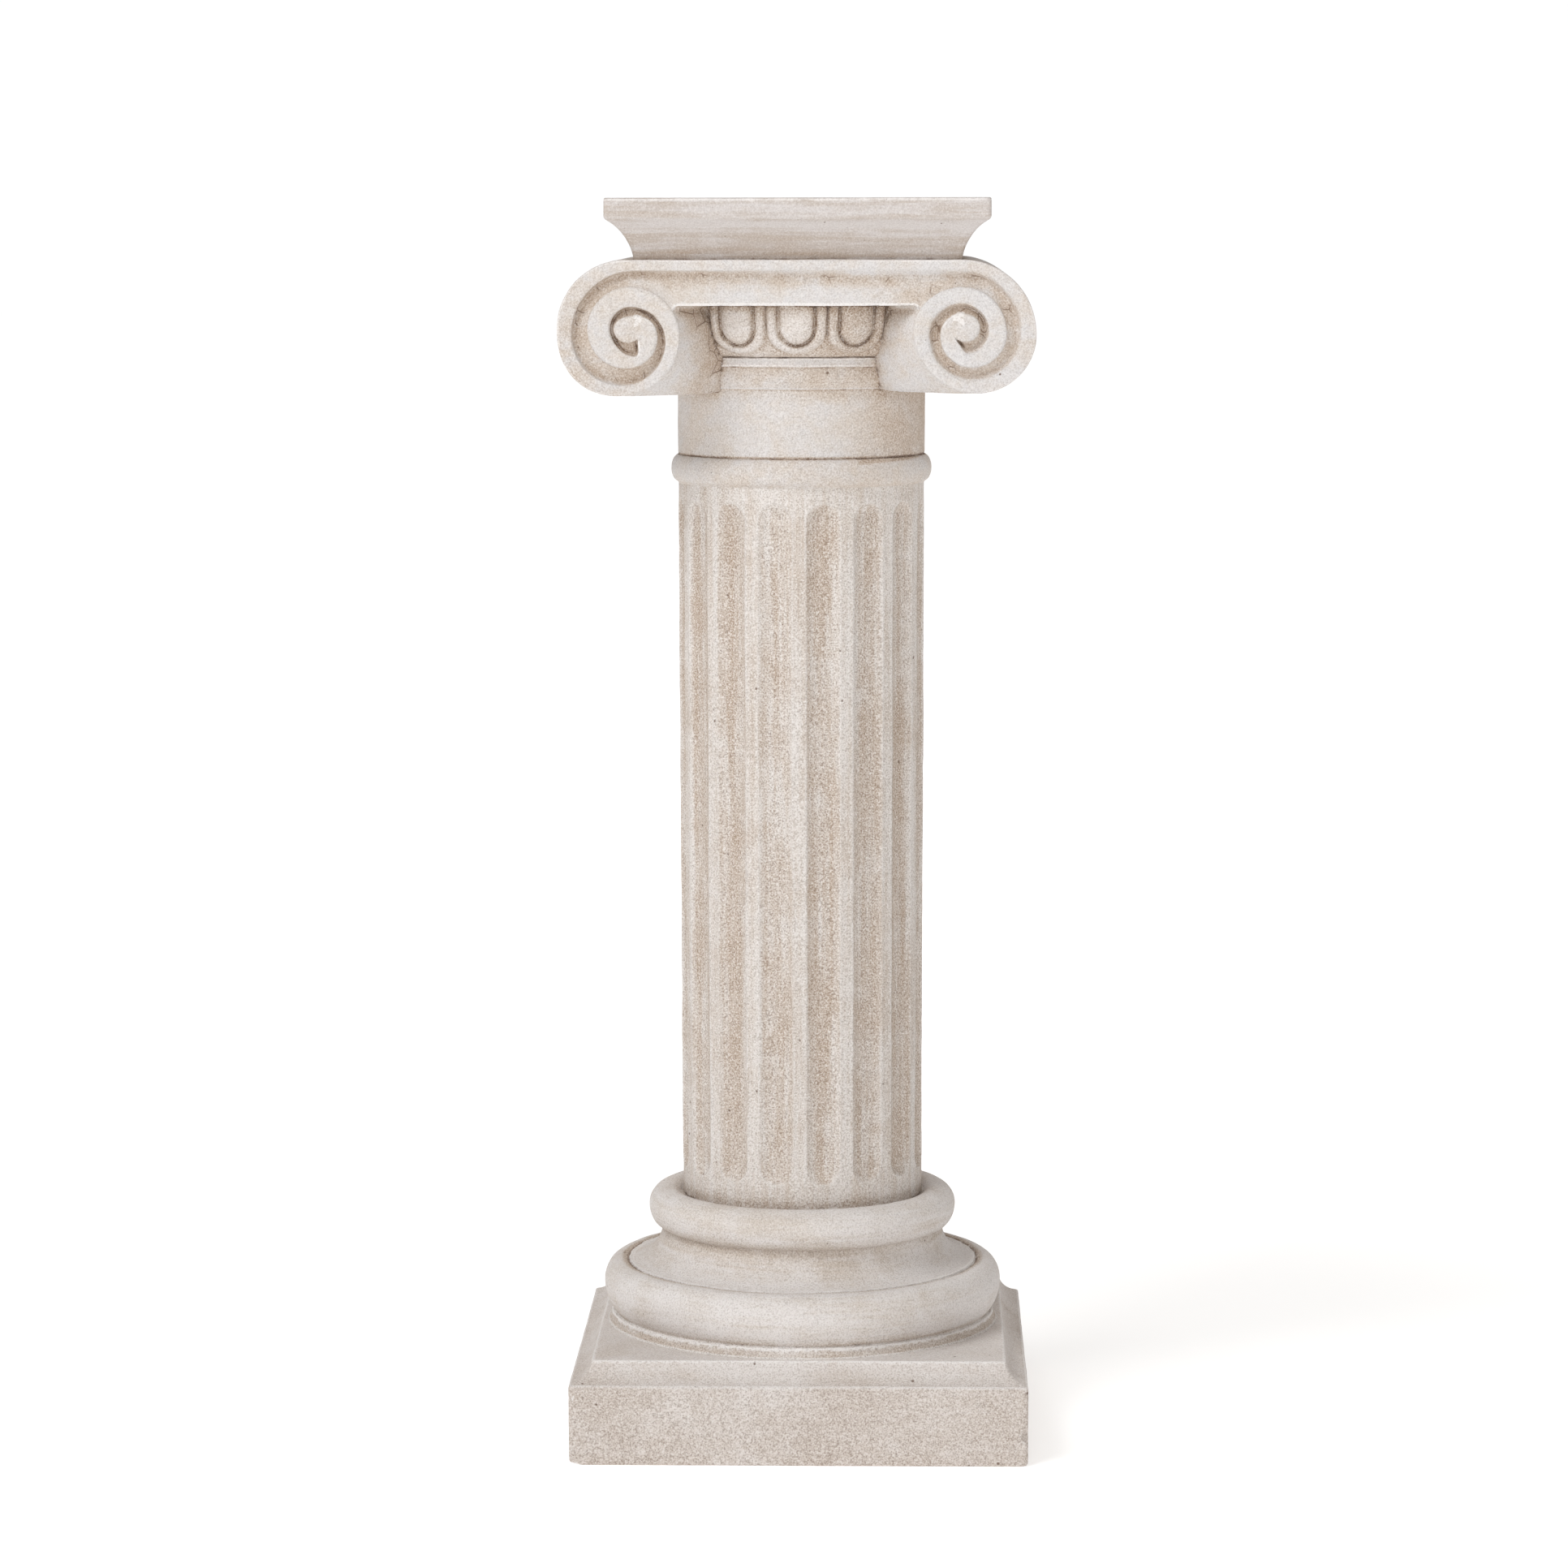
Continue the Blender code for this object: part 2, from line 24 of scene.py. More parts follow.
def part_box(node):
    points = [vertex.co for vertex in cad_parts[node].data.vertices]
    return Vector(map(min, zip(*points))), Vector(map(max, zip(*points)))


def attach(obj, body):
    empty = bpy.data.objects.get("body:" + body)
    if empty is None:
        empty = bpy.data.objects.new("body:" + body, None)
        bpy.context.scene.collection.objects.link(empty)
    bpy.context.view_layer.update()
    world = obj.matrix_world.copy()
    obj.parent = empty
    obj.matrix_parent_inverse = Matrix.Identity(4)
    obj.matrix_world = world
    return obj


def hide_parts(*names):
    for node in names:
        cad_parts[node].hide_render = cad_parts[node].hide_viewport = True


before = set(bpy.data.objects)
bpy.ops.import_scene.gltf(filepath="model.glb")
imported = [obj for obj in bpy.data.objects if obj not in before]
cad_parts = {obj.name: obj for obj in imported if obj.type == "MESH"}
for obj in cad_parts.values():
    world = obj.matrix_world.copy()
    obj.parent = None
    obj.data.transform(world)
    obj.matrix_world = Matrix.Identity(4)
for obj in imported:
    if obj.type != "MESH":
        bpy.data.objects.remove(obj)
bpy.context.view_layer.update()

LOG = logging.getLogger("column_plant_stand")
CASTING = "column_plant_stand"
EMBED = 0.0040
MERGE = 0.00001
MIX_FIRST = 6
MIX_SECOND = 7
MIX_RESULT = 2
CORNER_STEPS = 6
HASH_AXES = (73856093, 19349663, 83492791)
HASH_SEED = 2654435761
HASH_FIRST = 2246822519
HASH_SECOND = 3266489917
HASH_MASK = 0xFFFFFFFF
HASH_HALF = 0x7FFFFFFF


class BrushWay(Enum):
    """The way the brush ran when the limewash went on, as the stretch of its marks."""

    UPRIGHT = (1.0, 1.0, 0.045)
    AROUND = (0.05, 0.05, 1.0)
    LOOSE = (0.45, 0.45, 0.7)


class Side(Enum):
    """The side of the head that a scroll is on, as the sign of its x."""

    LEFT = -1.0
    RIGHT = 1.0


def arc(centre: Sequence[float], reach: Sequence[float], start: float, end: float,
        steps: int) -> np.ndarray:
    """Points of an elliptical arc.

    Args:
        centre: The centre, as radius or half-width and height.
        reach: The half-width and half-height.
        start: The first angle in degrees, 0 pointing outwards and 90 up.
        end: The last angle in degrees.
        steps: The number of stretches.

    Returns:
        An array of steps + 1 points.
    """
    angles = np.radians(np.linspace(start, end, steps + 1))
    return np.column_stack((centre[0] + reach[0] * np.cos(angles),
                            centre[1] + reach[1] * np.sin(angles)))


def bow(start: Sequence[float], end: Sequence[float], hollow: float, steps: int) -> np.ndarray:
    """Points of the circular arc from start to end, bowed to the right of its way.

    Args:
        start: The first point.
        end: The last point.
        hollow: How far the middle leaves the straight line, to the left where it is negative.
        steps: The number of stretches.

    Returns:
        An array of steps + 1 points.
    """
    first, last = np.array(start, float), np.array(end, float)
    across = last - first
    chord = float(np.hypot(*across))
    radius = (chord * chord / 4.0 + hollow * hollow) / (2.0 * abs(hollow))
    half = math.asin(min(1.0, chord / (2.0 * radius)))
    angles = np.linspace(-half, half, steps + 1)
    along = 0.5 + radius * np.sin(angles) / chord
    out = radius * (np.cos(angles) - math.cos(half)) * math.copysign(1.0, hollow)
    right = np.array((across[1], -across[0])) / chord
    return first + np.outer(along, across) + np.outer(out, right)


def washed(points: Sequence, start: float, end: float | None = None) -> np.ndarray:
    """Add the wash to a stretch of profile.

    Args:
        points: The points of the stretch.
        start: The wash at its first point.
        end: The wash at its last point, or the same as at the first.

    Returns:
        The points with the wash as a third column.
    """
    last = start if end is None else end
    return np.column_stack((np.array(points, float), np.linspace(start, last, len(points))))


def close_up(profile: np.ndarray, pitch: float) -> np.ndarray:
    """Add points to a profile until none are further apart than the pitch.

    Args:
        profile: The profile, whose first two columns are its place.
        pitch: The longest stretch that is left.

    Returns:
        The profile with the points added.
    """
    rows = [profile[:1]]
    for first, last in zip(profile, profile[1:]):
        steps = max(1, math.ceil(float(np.hypot(*(last - first)[:2])) / pitch))
        shares = np.linspace(0.0, 1.0, steps + 1)[1:, None]
        rows.append(first + (last - first) * shares)
    return np.concatenate(rows)


def ease(value: np.ndarray, low: float, high: float) -> np.ndarray:
    """Turn a value smoothly from 0 at low to 1 at high."""
    share = np.clip((value - low) / (high - low), 0.0, 1.0)
    return share * share * (3.0 - 2.0 * share)


def rounded(value: np.ndarray, run: float) -> np.ndarray:
    """Rise from 0 to 1 over the run as a quarter circle does."""
    share = np.clip(value / run, 0.0, 1.0)
    return np.sqrt(1.0 - (1.0 - share) ** 2)


def lumps(points: np.ndarray, size: float, seed: int) -> np.ndarray:
    """Smooth seeded noise.

    Args:
        points: Where to read it.
        size: The size of a lump.
        seed: Which of the noises to read.

    Returns:
        A value from -1 to 1 for each point.
    """
    place = points / size + seed * 17.31
    cell = np.floor(place).astype(np.int64)
    part = place - cell
    part = part * part * (3.0 - 2.0 * part)
    total = np.zeros(len(points))
    for corner in np.ndindex(2, 2, 2):
        key = (cell + np.array(corner)) * np.array(HASH_AXES)
        mixed = (key[:, 0] ^ key[:, 1] ^ key[:, 2] ^ seed * HASH_SEED) & HASH_MASK
        mixed = (mixed ^ mixed >> 15) * HASH_FIRST & HASH_MASK
        mixed = (mixed ^ mixed >> 13) * HASH_SECOND & HASH_MASK
        weight = np.prod(np.where(np.array(corner) == 1, part, 1.0 - part), axis=1)
        total += weight * ((mixed ^ mixed >> 16) / HASH_HALF - 1.0)
    return total


def coordinates(data: bpy.types.Mesh) -> np.ndarray:
    """Read a mesh's points.

    Args:
        data: The mesh.

    Returns:
        An array of one row for each point.
    """
    found = np.empty(len(data.vertices) * 3, np.float32)
    data.vertices.foreach_get("co", found)
    return found.reshape(-1, 3).astype(float)


def directions(data: bpy.types.Mesh) -> np.ndarray:
    """Read the way that a mesh's surface faces at each point.

    Args:
        data: The mesh.

    Returns:
        An array of one row for each point.
    """
    found = np.empty(len(data.vertices) * 3, np.float32)
    data.vertex_normals.foreach_get("vector", found)
    return found.reshape(-1, 3).astype(float)


def move_points(data: bpy.types.Mesh, points: np.ndarray) -> None:
    """Move a mesh's points."""
    data.vertices.foreach_set("co", points.astype(np.float32).ravel())
    data.update()


def painted(data: bpy.types.Mesh, name: str) -> np.ndarray:
    """Read a value painted on a mesh's points.

    Args:
        data: The mesh.
        name: The value's name.

    Returns:
        The value at each point.
    """
    found = np.empty(len(data.vertices), np.float32)
    data.attributes[name].data.foreach_get("value", found)
    return found.astype(float)


def paint(data: bpy.types.Mesh, name: str, value: np.ndarray) -> None:
    """Paint a value from 0 to 1 on a mesh's points."""
    layer = data.attributes.get(name) or data.attributes.new(name, "FLOAT", "POINT")
    layer.data.foreach_set("value", np.clip(value, 0.0, 1.0).astype(np.float32))


@dataclass
class Patch:
    """One grid of a mesh in the making, whose rows may be rings."""

    points: np.ndarray
    wash: np.ndarray
    ringed: bool = False
    close_first: bool = False
    close_last: bool = False

    def faces(self, first: int) -> list[tuple[int, ...]]:
        """List the patch's faces.

        Args:
            first: The number of the patch's first point in the whole mesh.

        Returns:
            The faces as tuples of point numbers.
        """
        rows, columns = self.points.shape[:2]
        index = first + np.arange(rows * columns).reshape(rows, columns)
        right = np.roll(index, -1, axis=1) if self.ringed else index[:, 1:]
        left = index if self.ringed else index[:, :-1]
        grid = np.stack((left[:-1], right[:-1], right[1:], left[1:]), axis=-1).reshape(-1, 4)
        found = [tuple(face) for face in grid.tolist()]
        if self.close_first:
            found.append(tuple(reversed(index[0].tolist())))
        if self.close_last:
            found.append(tuple(index[-1].tolist()))
        return found


def piece_from(name: str, patches: Sequence[Patch]) -> bpy.types.Object:
    """Join patches into one closed piece.

    Args:
        name: The piece's name.
        patches: The patches, whose shared edges have the same points.

    Returns:
        The new object, with its wash painted on it, crevices where that is over 1 and worn edges
        where it is under 0.
    """
    faces, first = [], 0
    for patch in patches:
        faces += patch.faces(first)
        first += patch.wash.size
    points = np.concatenate([patch.points.reshape(-1, 3) for patch in patches])
    data = bpy.data.meshes.new(name)
    data.from_pydata(points.tolist(), [], faces)
    wash = np.concatenate([patch.wash.ravel() for patch in patches])
    paint(data, "wash", wash)
    paint(data, "crevice", wash - 1.0)
    paint(data, "worn", -wash)
    joined = bmesh.new()
    joined.from_mesh(data)
    bmesh.ops.remove_doubles(joined, verts=joined.verts, dist=MERGE)
    bmesh.ops.dissolve_degenerate(joined, edges=joined.edges, dist=MERGE)
    bmesh.ops.recalc_face_normals(joined, faces=joined.faces)
    joined.to_mesh(data)
    joined.free()
    data.shade_smooth()
    piece = bpy.data.objects.new(name, data)
    bpy.context.scene.collection.objects.link(piece)
    return piece


def turned(profile: np.ndarray, columns: int) -> Patch:
    """Turn a profile of radius, height and wash about the stand's axis.

    Args:
        profile: The profile, from below upwards.
        columns: The number of points to a ring.

    Returns:
        The patch, closed at both ends.
    """
    angles = np.arange(columns) * math.tau / columns
    radius, height = profile[:, :1], profile[:, 1:2]
    points = np.stack((radius * np.sin(angles), -radius * np.cos(angles),
                       np.broadcast_to(height, (len(profile), columns))), axis=-1)
    wash = np.repeat(profile[:, 2:], columns, axis=1)
    return Patch(points, wash, ringed=True, close_first=True, close_last=True)


def square_ring(half: float, corner: float, side_steps: int, corner_steps: int) -> np.ndarray:
    """Points of a square with rounded corners, in one turn.

    Args:
        half: Its half-width.
        corner: The radius of its corners.
        side_steps: The number of stretches to a side.
        corner_steps: The number of stretches to a corner.

    Returns:
        The points as x and y.
    """
    ring = []
    reach = half - corner
    for quarter in range(4):
        flat = np.column_stack((np.full(side_steps, half), np.linspace(-reach, reach, side_steps + 1)[:-1]))
        bend = arc((reach, reach), (corner, corner), 0.0, 90.0, corner_steps)[:-1]
        turn = math.radians(90.0 * quarter)
        rotate = np.array(((math.cos(turn), math.sin(turn)), (-math.sin(turn), math.cos(turn))))
        ring.append(np.concatenate((flat, bend)) @ rotate)
    return np.concatenate(ring)


def squared(profile: np.ndarray, corner: float, pitch: float) -> Patch:
    """Run a profile of half-width, height and wash round a square.

    Args:
        profile: The profile, from below upwards.
        corner: The radius of the square's corners.
        pitch: The longest stretch along a side.

    Returns:
        The patch, open at both ends.
    """
    side_steps = math.ceil(2.0 * float(profile[:, 0].max()) / pitch)
    rings = []
    for half, height, _ in profile:
        ring = square_ring(half, min(corner, 0.9 * half), side_steps, CORNER_STEPS)
        rings.append(np.column_stack((ring, np.full(len(ring), height))))
    points = np.stack(rings)
    return Patch(points, np.repeat(profile[:, 2:], points.shape[1], axis=1), ringed=True)


def flat_inward(rim: np.ndarray, inner: np.ndarray, rows: int, wash: float) -> Patch:
    """Fill a flat face between its rim and an inner ring of as many points.

    Args:
        rim: The rim's points in space.
        inner: The inner ring's points, as x and y.
        rows: The number of stretches between them.
        wash: The wash all over the face.

    Returns:
        The face's patch, open in the middle.
    """
    shares = np.linspace(0.0, 1.0, rows + 1)[:, None, None]
    flat = rim[None, :, :2] * (1.0 - shares) + inner[None] * shares
    points = np.concatenate((flat, np.full(flat.shape[:2] + (1,), rim[0, 2])), axis=-1)
    return Patch(points, np.full(points.shape[:2], wash), ringed=True)


def linear(shade: Sequence[int]) -> tuple[float, float, float, float]:
    """Turn a display colour, 0 to 255, into the linear colour that shaders take.

    Args:
        shade: The display colour's red, green and blue.

    Returns:
        The linear red, green and blue, and 1 for a solid colour.
    """
    parts = []
    for value in shade:
        share = value / 255.0
        parts.append(share / 12.92 if share <= 0.04045 else ((share + 0.055) / 1.055) ** 2.4)
    return (parts[0], parts[1], parts[2], 1.0)


class Wiring:
    """Adds nodes to one material and joins them."""

    def __init__(self, tree: bpy.types.NodeTree) -> None:
        """Keep the tree that the nodes go in."""
        self.tree = tree

    def node(self, kind: str) -> bpy.types.Node:
        """Add one node."""
        return self.tree.nodes.new(kind)

    def join(self, value: object, socket: bpy.types.NodeSocket) -> None:
        """Join an output to an input, or set the input to a plain value.

        Args:
            value: The output or the value.
            socket: The input.
        """
        if isinstance(value, bpy.types.NodeSocket):
            self.tree.links.new(value, socket)
        else:
            socket.default_value = value

    def maths(self, operation: str, *given: object) -> bpy.types.NodeSocket:
        """Work out one number from one or two.

        Args:
            operation: The name of the sum.
            given: The numbers, as outputs or plain values.

        Returns:
            The result's output.
        """
        made = self.node("ShaderNodeMath")
        made.operation = operation
        for value, socket in zip(given, made.inputs):
            self.join(value, socket)
        return made.outputs[0]

    def sum(self, *given: object) -> bpy.types.NodeSocket:
        """Add up two or more numbers.

        Args:
            given: The numbers, as outputs or plain values.

        Returns:
            The total's output.
        """
        total = given[0]
        for value in given[1:]:
            total = self.maths("ADD", total, value)
        return total

    def times(self, first: object, second: object) -> bpy.types.NodeSocket:
        """Multiply two numbers."""
        return self.maths("MULTIPLY", first, second)

    def about(self, noise: bpy.types.NodeSocket) -> bpy.types.NodeSocket:
        """Move a noise from about a half to about zero."""
        return self.maths("SUBTRACT", noise, 0.5)

    def between(self, value: object, low: float, high: float) -> bpy.types.NodeSocket:
        """Turn a number smoothly from 0 at low to 1 at high.

        Args:
            value: The number.
            low: Where the result leaves 0.
            high: Where it reaches 1.

        Returns:
            The result's output.
        """
        made = self.node("ShaderNodeMapRange")
        made.interpolation_type = "SMOOTHSTEP"
        self.join(value, made.inputs["Value"])
        made.inputs["From Min"].default_value = low
        made.inputs["From Max"].default_value = high
        return made.outputs["Result"]

    def painted(self, name: str) -> bpy.types.NodeSocket:
        """Read a value that is painted on the piece's points.

        Args:
            name: The value's name.

        Returns:
            The value's output.
        """
        made = self.node("ShaderNodeAttribute")
        made.attribute_name = name
        return made.outputs["Fac"]

    def drawn_out(self, place: bpy.types.NodeSocket, way: BrushWay) -> bpy.types.NodeSocket:
        """Stretch coordinates along the brush's way.

        Args:
            place: The coordinates.
            way: The way the brush ran.

        Returns:
            The stretched coordinates.
        """
        made = self.node("ShaderNodeVectorMath")
        made.operation = "MULTIPLY"
        self.join(place, made.inputs[0])
        made.inputs[1].default_value = way.value
        return made.outputs["Vector"]

    def noise(self, place: bpy.types.NodeSocket, scale: float, detail: float,
              distortion: float) -> bpy.types.NodeSocket:
        """Read a cloudy noise at a place.

        Args:
            place: The coordinates.
            scale: Clouds to a metre.
            detail: The number of finer noises on top.
            distortion: How far the clouds are pulled.

        Returns:
            A number from 0 to 1.
        """
        made = self.node("ShaderNodeTexNoise")
        self.join(place, made.inputs["Vector"])
        made.inputs["Scale"].default_value = scale
        made.inputs["Detail"].default_value = detail
        made.inputs["Distortion"].default_value = distortion
        return made.outputs["Fac"]

    def pits(self, place: bpy.types.NodeSocket, scale: float, reach: float,
             spared: float) -> bpy.types.NodeSocket:
        """Scatter small round holes.

        Args:
            place: The coordinates.
            scale: Cells to a metre, each of which may hold one hole.
            reach: The radius of the largest hole, in cells.
            spared: The share of cells that hold none.

        Returns:
            A number that is 1 in the middle of a hole and 0 outside it.
        """
        cells = self.node("ShaderNodeTexVoronoi")
        self.join(place, cells.inputs["Vector"])
        cells.inputs["Scale"].default_value = scale
        split = self.node("ShaderNodeSeparateColor")
        self.join(cells.outputs["Color"], split.inputs["Color"])
        size = self.times(self.maths("SUBTRACT", split.outputs["Red"], spared), reach / (1.0 - spared))
        inside = self.maths("SUBTRACT", size, cells.outputs["Distance"])
        return self.between(inside, 0.0, reach * 0.45)

    def cracks(self, place: bpy.types.NodeSocket, scale: float, width: float) -> bpy.types.NodeSocket:
        """Draw a net of hairline cracks, 1 in a crack and 0 outside it.

        Args:
            place: The coordinates.
            scale: Meshes of the net to a metre.
            width: The width of a crack, as a share of a mesh.

        Returns:
            The number.
        """
        cells = self.node("ShaderNodeTexVoronoi")
        cells.feature = "DISTANCE_TO_EDGE"
        self.join(place, cells.inputs["Vector"])
        cells.inputs["Scale"].default_value = scale
        return self.maths("SUBTRACT", 1.0, self.between(cells.outputs["Distance"], 0.0, width))

    def mix(self, share: object, first: object, second: object) -> bpy.types.NodeSocket:
        """Mix two colours, the first where the share is 0.

        Args:
            share: The share of the second.
            first: The first colour.
            second: The second colour.

        Returns:
            The mixed colour.
        """
        made = self.node("ShaderNodeMix")
        made.data_type = "RGBA"
        self.join(share, made.inputs[0])
        self.join(first, made.inputs[MIX_FIRST])
        self.join(second, made.inputs[MIX_SECOND])
        return made.outputs[MIX_RESULT]


@dataclass(frozen=True)
class Limewash:
    """Off-white limewash brushed over a brown ground on sandy cast stone."""

    name: str
    brush: BrushWay
    brown: float = 1.0
    streaks: float = 1.0
    sand: float = 1.0
    cracks: float = 0.0
    # How strongly painted shade and grime darken its creases and the places under overhangs.
    shade_and_dirt_strength: float = 1.0
    lime: tuple[int, int, int] = (221, 215, 211)
    thin_lime: tuple[int, int, int] = (207, 197, 187)
    ground: tuple[int, int, int] = (180, 160, 141)
    # Dark brown of grime, pits and cracks, also used as painted shade in creases.
    dirt_and_shade: tuple[int, int, int] = (108, 84, 66)
    rubbed: tuple[int, int, int] = (233, 229, 226)
    broad_scale: float = 13.0
    patch_scale: float = 42.0
    mottle_scale: float = 170.0
    grain_scale: float = 1050.0
    sweep_scale: float = 130.0
    bristle_scale: float = 520.0
    pit_scale: float = 115.0
    speck_scale: float = 300.0
    crack_scale: float = 75.0
    crack_width: float = 0.035
    relief_share: float = 0.6
    relief_depth: float = 0.0007

    def material(self) -> bpy.types.Material:
        """Make the finish's material.

        Returns:
            A node material that reads the wash, crevice and worn values of its piece.
        """
        made = bpy.data.materials.new(self.name)
        made.use_nodes = True
        wires = Wiring(made.node_tree)
        place = wires.node("ShaderNodeTexCoord").outputs["Object"]
        drawn = wires.drawn_out(place, self.brush)
        wash, crevice, worn = (wires.painted(name) for name in ("wash", "crevice", "worn"))

        broad = wires.about(wires.noise(place, self.broad_scale, 3.0, 0.6))
        patches = wires.about(wires.noise(place, self.patch_scale, 4.0, 0.9))
        mottle = wires.about(wires.noise(place, self.mottle_scale, 4.0, 0.3))
        grain = wires.about(wires.noise(place, self.grain_scale, 2.0, 0.2))
        sweep = wires.about(wires.noise(drawn, self.sweep_scale, 3.0, 0.5))
        bristle = wires.about(wires.noise(drawn, self.bristle_scale, 3.0, 0.3))

        cloud = wires.sum(wires.times(broad, 0.9), wires.times(patches, 0.9),
                          wires.times(sweep, 1.3 * self.streaks), wires.times(bristle, 0.8 * self.streaks))
        uneven = wires.times(cloud, wires.sum(wires.times(wash, 1.0), 0.28))
        show = wires.between(wires.sum(wash, uneven, wires.times(grain, 0.35)), 0.02, 1.15)
        thin = wires.between(wires.sum(cloud, wires.times(wash, 0.7)), -0.22, 0.62)

        colour = wires.mix(thin, linear(self.lime), linear(self.thin_lime))
        colour = wires.mix(wires.times(show, self.brown), colour, linear(self.ground))
        rubbed = wires.between(wires.sum(worn, wires.times(mottle, 0.5)), 0.10, 0.55)
        colour = wires.mix(wires.times(rubbed, 0.80), colour, linear(self.rubbed))
        # Painted shade and grime: the crevice value, with mottle and patches, darkens creases towards the
        # dark brown.
        line = wires.sum(crevice, wires.times(mottle, 1.3), wires.times(patches, 1.0))
        colour = wires.mix(wires.times(wires.between(line, 0.35, 1.05), 0.80), colour, linear(self.dirt_and_shade))

        sandy = wires.times(wires.sum(wires.times(wash, 0.8), 0.6), self.sand)
        dark = wires.between(grain, -0.04, 0.22)
        colour = wires.mix(wires.times(wires.times(dark, 0.24), sandy), colour, linear(self.dirt_and_shade))
        pale = wires.between(wires.times(grain, -1.0), 0.0, 0.22)
        colour = wires.mix(wires.times(pale, 0.30 * self.sand), colour, linear(self.rubbed))
        pits = wires.pits(place, self.pit_scale, 0.14, 0.64)
        specks = wires.pits(place, self.speck_scale, 0.15, 0.50)
        holes = wires.sum(pits, wires.times(specks, 0.45))
        colour = wires.mix(wires.times(holes, 0.80), colour, linear(self.dirt_and_shade))
        if self.cracks:
            fine = wires.cracks(place, self.crack_scale, self.crack_width)
            where = wires.between(wires.sum(wash, wires.times(patches, 2.2)), 0.62, 0.92)
            cracked = wires.times(wires.times(fine, where), self.cracks)
            colour = wires.mix(cracked, colour, linear(self.dirt_and_shade))
            holes = wires.sum(holes, wires.times(cracked, 0.5))

        height = wires.sum(wires.times(bristle, 0.22 * self.streaks), wires.times(grain, 0.55 * self.sand),
                           wires.times(mottle, 0.35), wires.times(holes, -1.2))
        bump = wires.node("ShaderNodeBump")
        bump.inputs["Strength"].default_value = self.relief_share
        bump.inputs["Distance"].default_value = self.relief_depth
        wires.join(height, bump.inputs["Height"])
        shader = wires.tree.nodes["Principled BSDF"]
        wires.join(colour, shader.inputs["Base Color"])
        wires.join(wires.sum(wires.times(show, 0.10), wires.times(mottle, 0.12), 0.78),
                   shader.inputs["Roughness"])
        wires.join(bump.outputs["Normal"], shader.inputs["Normal"])
        shader.inputs["Specular IOR Level"].default_value = 0.28
        return made


@dataclass
class Plinth:
    """The square block with a hollow flare up to a flat ledge under the base."""

    half: float
    block_height: float = 0.0492
    flare_height: float = 0.0130
    flare: float = 0.0133
    flare_hollow: float = 0.0022
    arris_height: float = 0.0017
    arris_width: float = 0.0011
    ledge_arris: float = 0.0010
    corner: float = 0.0024
    foot_rounding: float = 0.0018
    ledge_inner: float = 0.1120
    ledge_rows: int = 24
    underside_rows: int = 5
    crumb: float = 0.0030
    knock_rough: float = 0.0004
    bite_stand_off: float = 0.0014
    pitch: float = 0.0020
    knocks: tuple[tuple[float, float, float], ...] = ((-1.0, 0.0085, 0.0095), (1.0, 0.0048, 0.0058))
    bites: tuple[tuple[float, float, float], ...] = ((1.0, 0.0195, 0.0058), (-1.0, 0.0405, 0.0040))
    finish: Limewash = Limewash("limewash_on_sandy_plinth", BrushWay.AROUND, 0.45, 0.35, 2.0, 0.0, 0.45,
                                lime=(221, 215, 211), thin_lime=(208, 198, 190), ground=(177, 163, 151))

    @property
    def top(self) -> float:
        """Height of the ledge."""
        return self.block_height + self.flare_height

    def build(self) -> bpy.types.Object:
        """Build the plinth.

        Returns:
            The piece.
        """
        block = self.block_height
        foot = self.foot_rounding
        lip = self.half - self.arris_width
        ledge = self.half - self.flare
        arris = self.ledge_arris
        profile = np.concatenate((
            washed(arc((self.half - foot, foot), (foot, foot), -90.0, 0.0, 4), 0.70, 0.62),
            washed(arc((lip, block - self.arris_height), (self.arris_width, self.arris_height),
                       0.0, 90.0, 6), 0.48, -0.6),
            washed(bow((lip - 0.0004, block + 0.0002), (ledge, self.top - arris), -self.flare_hollow,
                       12), 0.34, 0.12),
            washed(arc((ledge - arris, self.top - arris), (arris, arris), 0.0, 90.0, 4), -0.5)))
        outside = squared(close_up(profile, self.pitch), self.corner, self.pitch)
        rim = outside.points[-1]
        angles = np.arctan2(rim[:, 1], rim[:, 0])
        circle = np.column_stack((np.cos(angles), np.sin(angles))) * self.ledge_inner
        ledge_face = flat_inward(rim, circle, self.ledge_rows, 0.02)
        ledge_face.close_last = True
        foot_rim = outside.points[0]
        underside = flat_inward(foot_rim, np.zeros_like(foot_rim[:, :2]), self.underside_rows, 0.5)
        piece = piece_from("plinth", [outside, ledge_face, underside])
        self.knock_corners(piece)
        return piece

    def knock_corners(self, piece: bpy.types.Object) -> None:
        """Plane off the slivers knocked from the lower front corners.

        Args:
            piece: The plinth, whose front vertical edges get their two chips as well.
        """
        points = coordinates(piece.data)
        for side, width, height in self.knocks:
            outward = np.array((side / width, -1.0 / width, -1.0 / height))
            length = float(np.linalg.norm(outward))
            corner = np.array((side * self.half, -self.half, 0.0))
            past = ((points - corner) @ outward + 1.0) / length
            rough = self.knock_rough * lumps(points, self.crumb, 5)
            points -= np.outer(np.maximum(past + rough, 0.0) * (past > -0.0005), outward / length)
        for side, height, reach in self.bites:
            off = self.bite_stand_off
            centre = np.array((side * (self.half + off), -self.half - off, height))
            away = points - centre
            gap = np.linalg.norm(away, axis=1)
            deep = np.clip(reach * (1.0 + 0.18 * lumps(points, self.crumb, 6)) - gap, 0.0, None)
            points += away * (deep / np.maximum(gap, 1e-6))[:, None]
        move_points(piece.data, points)


